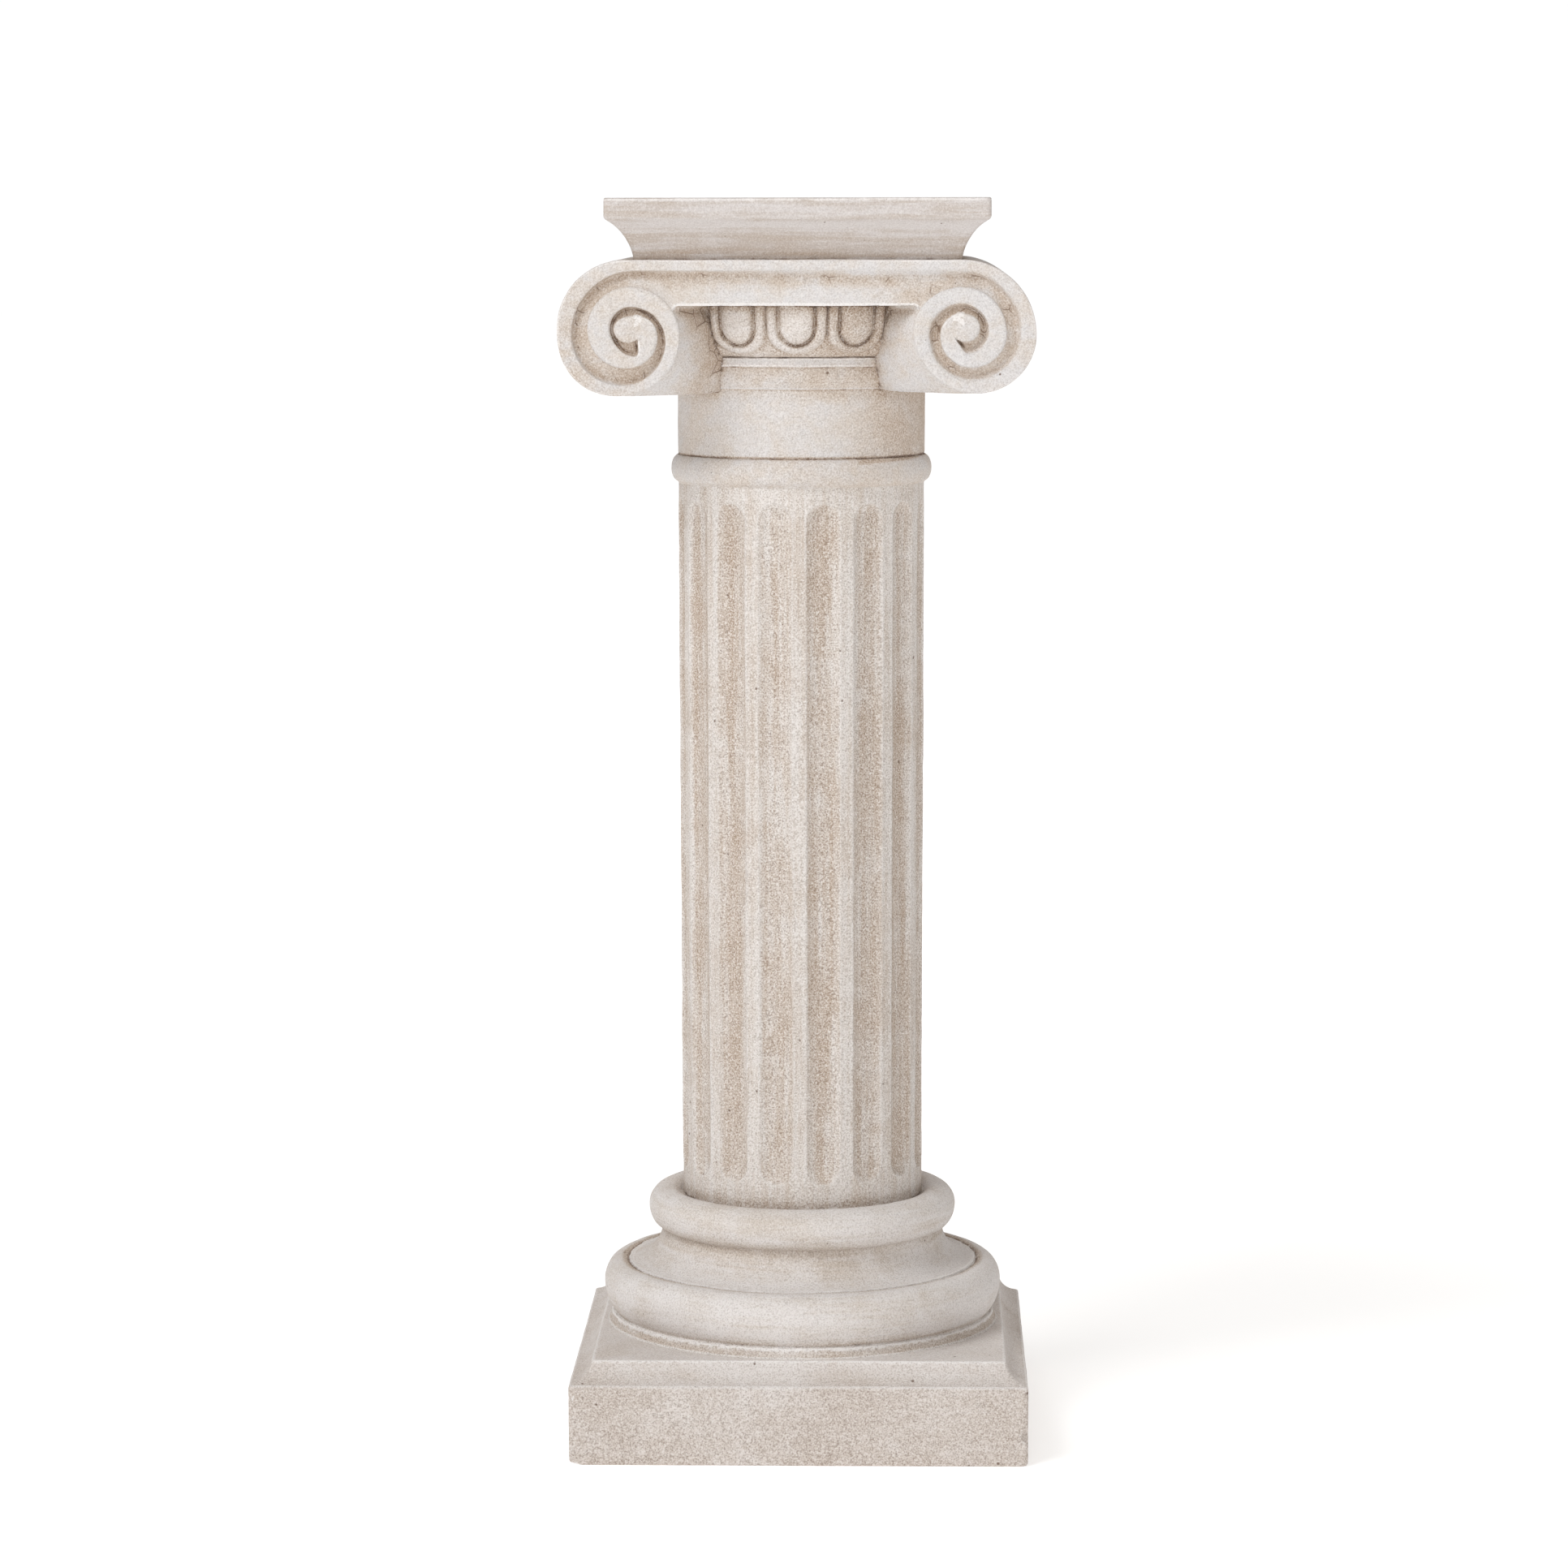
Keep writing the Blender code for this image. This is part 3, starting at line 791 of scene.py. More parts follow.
@dataclass
class Base:
    """The lower torus on its rough ridge, the fillet, the scotia and the upper torus, turned in one."""

    foot: float
    shaft_radius: float = 0.0750
    lower_projection: float = 0.0498
    lower_height: float = 0.0373
    lower_belly: float = 0.0250
    undercut: float = 0.0213
    crown_projection: float = 0.0402
    crown_rise: float = 0.0014
    fillet_projection: float = 0.0342
    fillet_height: float = 0.0018
    throat_projection: float = 0.0130
    scotia_height: float = 0.0212
    scotia_hollow: float = 0.0046
    skirt_inset: float = 0.0010
    ridge_inset: float = 0.0056
    ridge_height: float = 0.0050
    ridge_radius: float = 0.0012
    fillet_edge: float = 0.0008
    inner_radius: float = 0.0680
    upper_projection: float = 0.0215
    upper_height: float = 0.0248
    upper_belly: float = 0.0132
    upper_dip: float = 0.0042
    columns: int = 352
    pitch: float = 0.0014
    finish: Limewash = Limewash("limewash_brushed_round", BrushWay.AROUND, 0.62, 0.80, 1.9, 0.0, 0.5,
                                lime=(223, 218, 215))

    @property
    def top(self) -> float:
        """Height of the upper torus's crest, where the shaft's foot is measured from."""
        return self.foot + self.lower_height + self.fillet_height + self.scotia_height + self.upper_height

    @property
    def seat(self) -> float:
        """Height at which the upper torus meets the shaft."""
        return self.top - self.upper_dip

    def build(self) -> bpy.types.Object:
        """Build the base.

        Returns:
            The piece.
        """
        belly = self.shaft_radius + self.lower_projection
        belly_level = self.foot + self.lower_belly
        under = belly - self.undercut
        crown = self.shaft_radius + self.crown_projection
        fillet = self.shaft_radius + self.fillet_projection
        fillet_foot = self.foot + self.lower_height
        crown_level = fillet_foot + self.crown_rise
        fillet_top = fillet_foot + self.fillet_height
        throat = self.shaft_radius + self.throat_projection
        scotia_top = fillet_top + self.scotia_height
        upper = self.shaft_radius + self.upper_projection
        upper_level = scotia_top + self.upper_belly
        rise = self.top - upper_level
        dip_end = 90.0 + math.degrees(math.acos(1.0 - self.upper_dip / rise))
        edge = self.fillet_edge
        lower = arc((under, belly_level), (self.undercut, self.lower_belly), -47.0, 0.0, 16)
        skirt = belly - self.skirt_inset
        ridge = (belly - self.ridge_inset, self.foot + self.ridge_height)
        lip = self.ridge_radius
        profile = np.concatenate((
            washed([(skirt - EMBED, self.foot - EMBED)], 0.6),
            washed(bow((skirt, self.foot - 0.0003), (ridge[0] + lip, ridge[1]), -0.0010, 5), 0.70, 0.45),
            washed(arc(ridge, (lip, lip), 0.0, 100.0, 5), -0.7),
            washed(lower[:6], 0.45, 0.12),
            washed(lower[6:], 0.08, 0.05),
            washed(arc((crown, belly_level), (belly - crown, crown_level - belly_level), 0.0, 90.0,
                       12), 0.03, 0.08),
            washed(bow((crown - 0.0004, crown_level), (fillet + 0.0006, fillet_foot), 0.0008, 4),
                   0.10, 2.20),
            washed(arc((fillet - edge, fillet_top - edge), (edge, edge), 0.0, 150.0, 5), -1.0),
            washed(bow((fillet - 4.0 * edge, fillet_top - edge), (throat, scotia_top),
                       -self.scotia_hollow, 16), 0.10, 0.34),
            washed(arc((throat, upper_level), (upper - throat, self.upper_belly), -86.0, 0.0, 12),
                   0.36, 0.03),
            washed(arc((upper - rise, upper_level), (rise, rise), 0.0, dip_end, 22), 0.0, 0.16),
            washed([(self.shaft_radius + 0.0004, self.seat + 0.0002),
                    (self.inner_radius, self.seat - EMBED)], 0.6)))
        return piece_from("base_mouldings", [turned(close_up(profile, self.pitch), self.columns)])


@dataclass
class Shaft:
    """The fluted shaft, whose flutes end in rounded heads above and below."""

    foot: float
    seat: float
    foot_radius: float = 0.0750
    head_radius: float = 0.0762
    height: float = 0.4439
    flute_count: int = 16
    flute_share: float = 0.71
    flute_depth: float = 0.0034
    band_below: float = 0.0130
    band_above: float = 0.0102
    foot_rounding: float = 0.0012
    wall_steepness: float = 2.8
    floor_softness: float = 0.003
    rim_rise: float = 0.00025
    rim_place: float = 1.03
    rim_width: float = 0.07
    end_reach: float = 0.0125
    sunk_above: float = 0.0060
    pitch: float = 0.0038
    end_pitch: float = 0.0010
    half_columns: tuple[float, ...] = (0.0, 0.16, 0.32, 0.48, 0.62, 0.75, 0.85, 0.92, 0.98, 1.04, 1.12, 1.25)
    finish: Limewash = Limewash("limewash_brushed_upright", BrushWay.UPRIGHT, 0.85, 1.15, 2.4, 0.0, 0.7,
                                lime=(217, 211, 206), thin_lime=(203, 192, 182))

    @property
    def top(self) -> float:
        """Height of the shaft's head."""
        return self.foot + self.height

    def levels(self) -> np.ndarray:
        """List the heights of the rings, closer at the ends of the flutes.

        Returns:
            The heights, from below.
        """
        flute_foot = self.foot + self.band_below - 0.001
        flute_head = self.top - self.band_above + 0.001
        end = self.end_reach
        stops = (self.seat - EMBED, self.seat, self.seat + self.foot_rounding, flute_foot,
                 flute_foot + end, flute_head - end, flute_head, self.top, self.top + self.sunk_above)
        pitches = (EMBED, 0.0007, self.end_pitch * 1.5, self.end_pitch, self.pitch, self.end_pitch,
                   self.end_pitch * 1.5, 0.003)
        rows = [np.array(stops[:1])]
        for low, high, pitch in zip(stops, stops[1:], pitches):
            rows.append(np.linspace(low, high, math.ceil((high - low) / pitch) + 1)[1:])
        return np.concatenate(rows)

    def build(self) -> bpy.types.Object:
        """Build the shaft.

        Returns:
            The piece.
        """
        height = self.levels()[:, None]
        pitch = math.tau / self.flute_count
        half = 0.5 * self.flute_share * pitch
        right = np.array(self.half_columns)
        places = np.concatenate(((-1.0 / self.flute_share,), -right[:0:-1], right))
        angle = ((np.arange(self.flute_count)[:, None] + 0.5) * pitch + places * half).reshape(1, -1)
        across = np.tile(places, self.flute_count)[None, :]
        end = half * self.foot_radius
        beyond = np.maximum(self.foot + self.band_below + end - height,
                            height - (self.top - self.band_above - end))
        reach = np.hypot(across, np.maximum(beyond, 0.0) / end)
        inside = 1.0 - reach ** self.wall_steepness
        sunk = 0.5 * (inside + np.sqrt(inside * inside + self.floor_softness))
        rim = np.exp(-((reach - self.rim_place) / self.rim_width) ** 2)
        share = (height - self.foot) / self.height
        radius = self.foot_radius + (self.head_radius - self.foot_radius) * share
        inset = self.foot_rounding * (1.0 - rounded(height - self.seat, self.foot_rounding))
        radius = radius - self.flute_depth * sunk - inset + self.rim_rise * rim
        points = np.stack((radius * np.sin(angle), -radius * np.cos(angle),
                           np.broadcast_to(height, radius.shape)), axis=-1)
        # Painted highlight: the wash is lightened along the raised rims of the flutes.
        wash = 0.14 + 0.38 * np.clip(sunk, 0.0, 1.0) ** 0.5 - 0.15 * rim
        return piece_from("fluted_shaft", [Patch(points, wash, True, True, True)])


@dataclass
class Neck:
    """The astragal, the plain neck, its flare and the ring under the eggs, turned in one."""

    foot: float
    shaft_radius: float = 0.0762
    astragal_projection: float = 0.0046
    astragal_height: float = 0.0168
    neck_projection: float = 0.0004
    neck_height: float = 0.0425
    flare_projection: float = 0.0053
    flare_height: float = 0.0135
    flare_hollow: float = 0.0012
    ring_projection: float = 0.0068
    ring_height: float = 0.0060
    ring_edge: float = 0.0009
    apron_drop: float = 0.0024
    stain_reach: float = 0.0110
    cover_radius: float = 0.0812
    inner_radius: float = 0.0740
    columns: int = 400
    pitch: float = 0.0013
    gouge_start: float = 26.0
    gouge_end: float = 70.0
    gouge_width: float = 0.0026
    gouge_depth: float = 0.0006
    left_painted_shade: float = 0.06
    right_painted_shade: float = 0.58
    # Painted shade: a darker lime than the plinth's, so this piece reads darker under the high light.
    finish: Limewash = Limewash("limewash_brushed_loose", BrushWay.LOOSE, 0.80, 0.5, 1.5,
                                lime=(208, 204, 202))

    @property
    def top(self) -> float:
        """Height of the ring's top."""
        return self.foot + self.astragal_height + self.neck_height + self.flare_height + self.ring_height

    def build(self) -> bpy.types.Object:
        """Build the neck.

        Returns:
            The piece.
        """
        head = self.shaft_radius
        half = self.astragal_height / 2.0
        neck = head + self.neck_projection
        neck_foot = self.foot + self.astragal_height
        neck_top = neck_foot + self.neck_height
        ring = head + self.ring_projection
        ring_foot = neck_top + self.flare_height
        flare = head + self.flare_projection
        edge = self.ring_edge
        apron = self.foot - self.apron_drop
        profile = np.concatenate((
            washed([(head - EMBED, apron)], 0.4),
            washed(bow((head - 0.0006, apron), (head + 0.0020, self.foot + 0.0010), -0.0006, 4),
                   0.36, 0.42),
            washed(arc((head - 0.0003, self.foot + half), (self.astragal_projection + 0.0003, half),
                       -61.0, 84.0, 20), 0.34, 0.20),
            washed([(head - 0.0004, neck_foot + 0.0002), (neck - 0.0002, neck_foot + 0.0009)], 1.45, 0.8),
            washed([(neck, neck_foot + 0.0018), (neck, neck_top - self.stain_reach)], 0.16, 0.12),
            washed([(neck, neck_top - 0.0012)], 0.50),
            washed([(neck + 0.0001, neck_top - 0.0003)], 1.5),
            washed([(neck + 0.0009, neck_top + 0.0001)], -0.5),
            washed(bow((neck + 0.0011, neck_top + 0.0011), (flare, ring_foot - 0.0008), self.flare_hollow,
                       8), 0.42, 0.60),
            washed([(flare + 0.0001, ring_foot - 0.0001)], 1.7),
            washed(arc((ring - edge, ring_foot + edge), (edge, edge), -90.0, 0.0, 3), 0.25),
            washed(arc((ring - edge, self.top - edge), (edge, edge), 0.0, 90.0, 3), -0.3),
            washed([(self.cover_radius, self.top), (self.inner_radius, self.top + 0.003)], 1.7)))
        patch = turned(close_up(profile, self.pitch), self.columns)
        self.gouge(patch, neck_foot)
        sideways = patch.points[..., 0] / np.hypot(patch.points[..., 0], patch.points[..., 1])
        # Painted shade and light: the wash is raised on the right side of the neck, turned from the light,
        # and a little on the left, and lowered on the left of the astragal as painted light.
        painted_side_shade = self.left_painted_shade * ease(-sideways, 0.5, 0.95) + self.right_painted_shade * ease(sideways, 0.3, 0.9)
        above = patch.points[..., 2] > neck_foot
        patch.wash = patch.wash + painted_side_shade * above - 0.2 * ease(-sideways, 0.3, 0.9) * ~above
        return piece_from("neck_mouldings", [patch])

    def gouge(self, patch: Patch, neck_foot: float) -> None:
        """Press in the wedge-shaped gouge that runs into the astragal's top edge.

        Args:
            patch: The neck's patch.
            neck_foot: The height of the astragal's top.
        """
        x, y, height = (patch.points[..., axis] for axis in range(3))
        angle = np.degrees(np.arctan2(x, -y))
        share = (angle - self.gouge_start) / (self.gouge_end - self.gouge_start)
        width = self.gouge_width * (1.0 - np.clip(share, 0.0, 1.0))
        below = neck_foot - 0.0002 - height
        inside = ease(share, 0.0, 0.06) * (share < 1.0) * (below > -0.0006)
        inside = inside * (1.0 - ease(below, width, width + 0.0012))
        patch.points[..., :2] *= (1.0 - inside * self.gouge_depth / np.hypot(x, y))[..., None]
        patch.wash = np.maximum(patch.wash, inside)


@dataclass
class EggBand:
    """The rounded moulding with its row of eggs, each in a rod-like shell."""

    foot: float
    foot_radius: float = 0.0802
    head_radius: float = 0.0948
    height: float = 0.0315
    egg_count: int = 16
    egg_half: float = 0.0104
    egg_foot: float = 0.0080
    egg_foot_rounding: float = 0.0100
    egg_rise: float = 0.0046
    shell_foot: float = 0.0022
    shell_foot_rounding: float = 0.0128
    shell_rise: float = 0.0034
    groove: float = 0.0013
    dome_fullness: float = 3.2
    shell_gap: float = 0.0003
    spandrel_rise: float = 0.0012
    wash_depth: float = 0.0030
    turn: float = -0.6
    columns: int = 44
    rows: int = 46
    # Painted shade: a darker lime than the plinth's, so this piece reads darker under the high light.
    finish: Limewash = Limewash("limewash_over_eggs", BrushWay.LOOSE, 0.85, 0.5, 1.9,
                                lime=(217, 211, 207))

    @property
    def top(self) -> float:
        """Height of the moulding's top."""
        return self.foot + self.height

    def tongue(self, across: np.ndarray, height: np.ndarray, half: float, foot: float,
               rounding: float) -> np.ndarray:
        """Distance from a tongue's middle as a share of its half-width, 1 on its rounded outline."""
        below = np.maximum(0.0, self.foot + foot + rounding - height)
        return np.hypot(across / half, below / rounding)

    def build(self) -> bpy.types.Object:
        """Build the row of eggs.

        Returns:
            The piece.
        """
        share = np.concatenate(([0.0], np.linspace(0.0, 1.0, self.rows), [1.0]))[:, None]
        sink = np.zeros_like(share)
        sink[0], sink[-1] = -EMBED, EMBED
        count = self.egg_count * self.columns
        angle = np.arange(count)[None, :] * math.tau / count
        height = np.broadcast_to(self.foot + self.height * share, (len(share), count))
        shell_half = math.pi * self.head_radius / self.egg_count
        across = (angle * self.egg_count / math.tau + 0.5) % 1.0 - 0.5
        across = np.broadcast_to(across * 2.0 * shell_half, height.shape)

        egg = self.tongue(across, height, self.egg_half, self.egg_foot, self.egg_foot_rounding)
        rim = self.tongue(across, height, self.egg_half + self.groove, self.egg_foot - self.groove,
                          self.egg_foot_rounding + self.groove)
        shell = self.tongue(across, height, shell_half - self.shell_gap, self.shell_foot,
                            self.shell_foot_rounding)
        dome = self.egg_rise * np.sqrt(np.clip(1.0 - egg ** self.dome_fullness, 0.0, 1.0))
        gone_in = np.maximum(rim - 1.0, 0.0) * self.egg_half
        gone_out = np.maximum(1.0 - shell, 0.0) * shell_half
        middle = (gone_in - gone_out) / np.maximum(gone_in + gone_out, 1e-6)
        rod = self.shell_rise * np.sqrt(np.clip(1.0 - middle ** 2, 0.0, 1.0))
        rod = rod * (rim > 1.0) * (shell < 1.0)
        spandrel = self.spandrel_rise * ease(shell, 1.0, 1.25)
        relief = np.maximum(np.maximum(dome, rod), spandrel)

        swell = self.head_radius - self.foot_radius
        radius = self.foot_radius + swell * np.sqrt(1.0 - (1.0 - share) ** 2) + relief
        angle = angle + math.radians(self.turn)
        points = np.stack((radius * np.sin(angle), -radius * np.cos(angle), height + sink), axis=-1)
        low = 1.0 - np.clip(relief / self.wash_depth, 0.0, 1.0)
        # Painted shade: the wash is raised on the right side of the band, turned from the light, and at the
        # tops of the eggs under the head.
        right_side_painted_shade = ease(np.sin(angle), 0.05, 0.4) * (np.cos(angle) > 0.0)
        wash = 0.25 + 0.45 * low + 0.30 * ease(share, 0.7, 1.0) - 0.12 * ease(egg, 0.9, 0.2)
        wash = wash + 0.50 * right_side_painted_shade
        return piece_from("egg_band", [Patch(points, wash, True, True, True)])


@dataclass(frozen=True)
class Scroll:
    """One scroll of the head's face, drawn with quarter circles from its top in to its eye.

    The x of every place is measured outwards, whichever side the scroll is on.
    """

    side: Side
    top_x: float
    band_radii: tuple[float, ...]
    lip_x: float
    lip_radii: tuple[float, ...]
    eye_x: float
    eye_z: float
    eye_radius: float
    wall_run: float
    band_swells: tuple[tuple[float, float, float], ...]
    lip_swells: tuple[tuple[float, float, float], ...]
    brown_start: float
    band_stain: float
    inner_painted_shade: float
    close_quarter: float = 6.6

    def walk(self, start: tuple[float, float], radii: Sequence[float],
             swells: Sequence[tuple[float, float, float]], quarters: np.ndarray) -> np.ndarray:
        """Points of a scroll of quarter circles.

        Args:
            start: Its top point.
            radii: The radius of each quarter, from the top outwards and down.
            swells: Where it swells out: the middle and half-length in quarter turns, and how far.
            quarters: How many quarter turns from the top each point is.

        Returns:
            The points as x and height.
        """
        centres = [(start[0], start[1] - radii[0])]
        for index, (radius, following) in enumerate(zip(radii, radii[1:])):
            way = -math.pi / 2.0 * index
            step = radius - following
            last = centres[-1]
            centres.append((last[0] + step * math.cos(way), last[1] + step * math.sin(way)))
        index = np.clip(quarters.astype(int), 0, len(radii) - 1)
        angle = math.pi / 2.0 * (1.0 - quarters)
        reach = np.array(radii)[index]
        for middle, half, amount in swells:
            reach = reach + amount * (1.0 - ease(np.abs(quarters - middle), 0.0, half))
        return np.array(centres)[index] + reach[:, None] * np.column_stack((np.cos(angle), np.sin(angle)))

    def band_edge(self, top: float, quarters: np.ndarray) -> np.ndarray:
        """Points of the band's outer edge, which past eight quarters is the eye's own rim.

        Args:
            top: The height of the scroll's top.
            quarters: How many quarter turns from the top each point is.

        Returns:
            The points as x and height.
        """
        start = (self.top_x, top)
        band = self.walk(start, self.band_radii, self.band_swells, np.minimum(quarters, 7.99999))
        join = self.walk(start, self.band_radii, (), np.array((7.99999,)))[0]
        eye = np.array((self.eye_x, self.eye_z))
        angle = math.pi / 2.0 * (1.0 - quarters)
        rim = eye + self.eye_radius * np.column_stack((np.cos(angle), np.sin(angle)))
        shift = join - eye - np.array((0.0, self.eye_radius))
        pull = np.clip(9.0 - quarters, 0.0, 1.0) ** 2 + np.clip(quarters - 11.0, 0.0, 1.0) ** 2
        rim = rim + np.outer(pull, shift)
        return np.where((quarters >= 8.0)[:, None], rim, band)

    def lip_edge(self, top: float, quarters: np.ndarray) -> np.ndarray:
        """Points of the band's inner edge, which closes on the eye's rim where the channel ends.

        Args:
            top: The height of the edge's top.
            quarters: How many quarter turns from the top each point is.

        Returns:
            The points as x and height.
        """
        lip = self.walk((self.lip_x, top), self.lip_radii, self.lip_swells, np.minimum(quarters, 6.99999))
        closing = ease(quarters, self.close_quarter - 0.6, self.close_quarter)[:, None]
        rim = self.band_edge(top, np.maximum(quarters + 4.0, 8.0))
        return lip + (rim - lip) * closing


@dataclass
class ScrolledHead:
    """The scrolled cushion: two carved faces and the rolls that run between them."""

    foot: float
    height: float = 0.0275
    face_depth: float = 0.1060
    rim_height: float = 0.0062
    fillet: float = 0.0030
    recess: float = 0.0046
    edge: float = 0.0010
    ledge: float = 0.0022
    turn_ledge: float = 0.0013
    canalis_ledge: float = 0.0026
    edge_run: float = 0.0011
    full_width: float = 0.0025
    open_width: float = 0.0045
    lip_drop: float = 0.0005
    middle_run: float = 0.0022
    waist: float = 0.11
    waist_start: float = 0.0300
    soffit_start: float = 3.4
    eye_edge: float = 0.14
    eye_rise: float = 0.0003
    eye_wash: float = 0.18
    inner_slope: float = 0.71
    inner_reach: float = 0.0500
    quarter_steps: int = 26
    middle_steps: int = 34
    band_steps: int = 11
    channel_steps: int = 15
    roll_steps: int = 76
    left: Scroll = Scroll(
        Side.LEFT, 0.1034, (0.0413, 0.0393, 0.0347, 0.0300, 0.0256, 0.0236, 0.0190, 0.0133),
        0.0974, (0.0385, 0.0304, 0.0263, 0.0210, 0.0126, 0.0155, 0.0090), 0.1022, 0.6878, 0.0085, 0.0012,
        ((1.6, 0.6, 0.0022),), ((6.0, 0.8, 0.0018),), brown_start=-0.5, band_stain=0.30, inner_painted_shade=0.55)
    right: Scroll = Scroll(
        Side.RIGHT, 0.0984, (0.0446, 0.0353, 0.0366, 0.0271, 0.0273, 0.0211, 0.0193, 0.0135),
        0.0979, (0.0368, 0.0295, 0.0271, 0.0197, 0.0170, 0.0126, 0.0082), 0.1006, 0.6884, 0.0088, 0.0034,
        ((3.1, 0.7, 0.0018),), ((6.0, 0.7, 0.0014),), brown_start=-1.5, band_stain=0.10, inner_painted_shade=0.0)
    # Painted shade: a darker lime than the plinth's, so this piece reads darker under the high light.
    finish: Limewash = Limewash("limewash_on_scrolls", BrushWay.LOOSE, 0.82, 0.6, 1.4, 0.8,
                                lime=(210, 207, 206))

    @property
    def top(self) -> float:
        """Height of the cushion's top."""
        return self.foot + self.height

    def build(self) -> bpy.types.Object:
        """Build the head.

        Returns:
            The piece.
        """
        patches = []
        for scroll in (self.left, self.right):
            patches += self.half_head(scroll)
        return piece_from("scrolled_head", patches)

    def corner_quarter(self, scroll: Scroll) -> float:
        """How many quarter turns bring the band to the canalis's lower corner.

        Args:
            scroll: The scroll.

        Returns:
            The number of quarter turns.
        """
        found = np.linspace(3.0, 4.0, 401)
        heights = scroll.band_edge(self.top, found)[:, 1]
        return float(np.interp(self.foot - self.fillet, heights, found))

    def half_head(self, scroll: Scroll) -> list[Patch]:
        """Make the half of the head that one scroll is on.

        Args:
            scroll: The scroll.

        Returns:
            Both faces and the roll between them.
        """
        turn = self.corner_quarter(scroll)
        lower = max(4, round(turn * self.quarter_steps))
        rise = max(4, round((4.0 - turn) * self.quarter_steps))
        quarters = np.concatenate((np.linspace(0.0, turn, lower + 1), np.linspace(turn, 4.0, rise + 1)[1:]))
        corner = scroll.band_edge(self.top, np.array((turn,)))[0]
        flat_x = np.linspace(0.0, corner[0] - self.fillet, self.middle_steps + 1)
        bend = arc((corner[0] - self.fillet, self.foot - self.fillet), (self.fillet, self.fillet),
                   90.0, 0.0, 5)[1:]
        edge_low = np.concatenate((np.column_stack((flat_x, np.full(len(flat_x), self.foot))), bend))

        top_low_x = np.concatenate((edge_low[:, 0],
                                    np.linspace(corner[0], scroll.top_x, rise + 1)[1:]))
        outer_top = np.column_stack((top_low_x, np.full(len(top_low_x), self.top)))
        lip_x = np.concatenate((edge_low[:, 0], np.linspace(corner[0], scroll.lip_x, rise + 1)[1:]))
        rim = self.top - self.rim_height
        lip_top = np.column_stack((lip_x, np.full(len(lip_x), rim)))
        inner_top = np.concatenate((edge_low, scroll.band_edge(self.top, quarters[lower + 1:])))

        outer = [outer_top[:-1], scroll.band_edge(self.top, np.concatenate((quarters, quarters[1:] + 4.0)))]
        lip = [lip_top[:-1], scroll.lip_edge(rim, np.concatenate((quarters, quarters[1:] + 4.0)))]
        inner = [inner_top[:-1], scroll.band_edge(self.top, np.concatenate((quarters + 4.0,
                                                                           quarters[1:] + 8.0)))]
        outer, lip, inner = (np.concatenate(part) for part in (outer, lip, inner))
        along = np.concatenate((np.linspace(-2.0, 0.0, len(outer_top))[:-1], quarters, quarters[1:] + 4.0))
        outer_drop = self.outer_drop(along, turn)
        fullness = np.clip(np.linalg.norm(lip - outer, axis=1) / self.full_width, 0.0, 1.0)
        inner_drop = self.inner_drop(scroll, along, len(edge_low), turn, fullness)
        face = self.face(scroll, along, (outer, lip, inner), (outer_drop, inner_drop), fullness[:, None])
        eye = self.eye(face.points[-len(quarters):, -1])
        outline = np.concatenate((outer[:len(outer_top) + lower], edge_low[::-1][1:]))
        drops = np.concatenate((outer_drop[:len(outer_top) + lower], inner_drop[:len(edge_low)][::-1][1:]))
        soffit_way = np.linspace(self.soffit_start, 6.0, len(edge_low))[1:]
        way = np.concatenate((along[:len(outer_top) + lower], soffit_way))
        roll = self.roll(scroll, outline, drops, way, corner[0])
        patches = [roll]
        for patch in (face, eye):
            back = Patch(patch.points * np.array((1.0, -1.0, 1.0)), patch.wash)
            patches += [patch, back]
        for patch in patches:
            patch.points = patch.points * np.array((scroll.side.value, 1.0, 1.0))
        return patches

    def outer_drop(self, along: np.ndarray, turn: float) -> np.ndarray:
        """How far behind the face the band's outer edge lies, all along it."""
        inside = self.edge + (self.turn_ledge - self.edge) * ease(along, turn - 0.3, turn)
        return inside + (self.ledge - self.turn_ledge) * ease(along, turn, turn + 1.1)

    def inner_drop(self, scroll: Scroll, along: np.ndarray, middle: int, turn: float,
                   fullness: np.ndarray) -> np.ndarray:
        """How far behind the face the channel's inner edge lies, all along it.

        Args:
            scroll: The scroll.
            along: How many quarter turns from the top each row is.
            middle: The number of rows along the canalis's lower edge.
            turn: The quarter turns to the canalis's lower corner.
            fullness: The share of its full height that the band stands to.

        Returns:
            The depth at each row.
        """
        drop = self.outer_drop(along + 4.0, turn)
        low = self.canalis_ledge
        drop[:middle] = low + (self.turn_ledge - low) * ease(np.linspace(0.0, 1.0, middle), 0.72, 1.0)
        rising = (along < 0.0) & (np.arange(len(along)) >= middle)
        count = int(rising.sum())
        rise = turn + (4.0 - turn) * (np.arange(count) + 1.0) / (count + 1.0)
        drop[rising] = self.outer_drop(rise, turn)
        merged = ease(along, scroll.close_quarter - 0.5, scroll.close_quarter)
        return drop * (1.0 - merged * fullness)

    def face(self, scroll: Scroll, along: np.ndarray, edges: tuple[np.ndarray, ...],
             drops: tuple[np.ndarray, np.ndarray], fullness: np.ndarray) -> Patch:
        """Make the carved face: the band and the channel beside it, out to the eye.

        Args:
            scroll: The scroll.
            along: How many quarter turns from the top each row is.
            edges: The band's outer edge, its lip and the channel's inner edge.
            drops: How far behind the face the first and the last of those lie.
            fullness: The share of its full height that the band stands to, less where it dies out.

        Returns:
            The face's patch, a row across the band and channel at each place along them.
        """
        outer, lip, inner = edges
        band_share = 0.5 - 0.5 * np.cos(np.linspace(0.0, math.pi, self.band_steps + 1))[None, :]
        channel_share = 0.5 - 0.5 * np.cos(np.linspace(0.0, math.pi, self.channel_steps + 1))[None, 1:]
        band_width = np.linalg.norm(lip - outer, axis=1)[:, None]
        channel_width = np.linalg.norm(inner - lip, axis=1)[:, None]
        outer_drop, inner_drop = drops[0][:, None], drops[1][:, None]
        open_share = np.clip(channel_width / self.open_width, 0.0, 1.0) ** 1.5

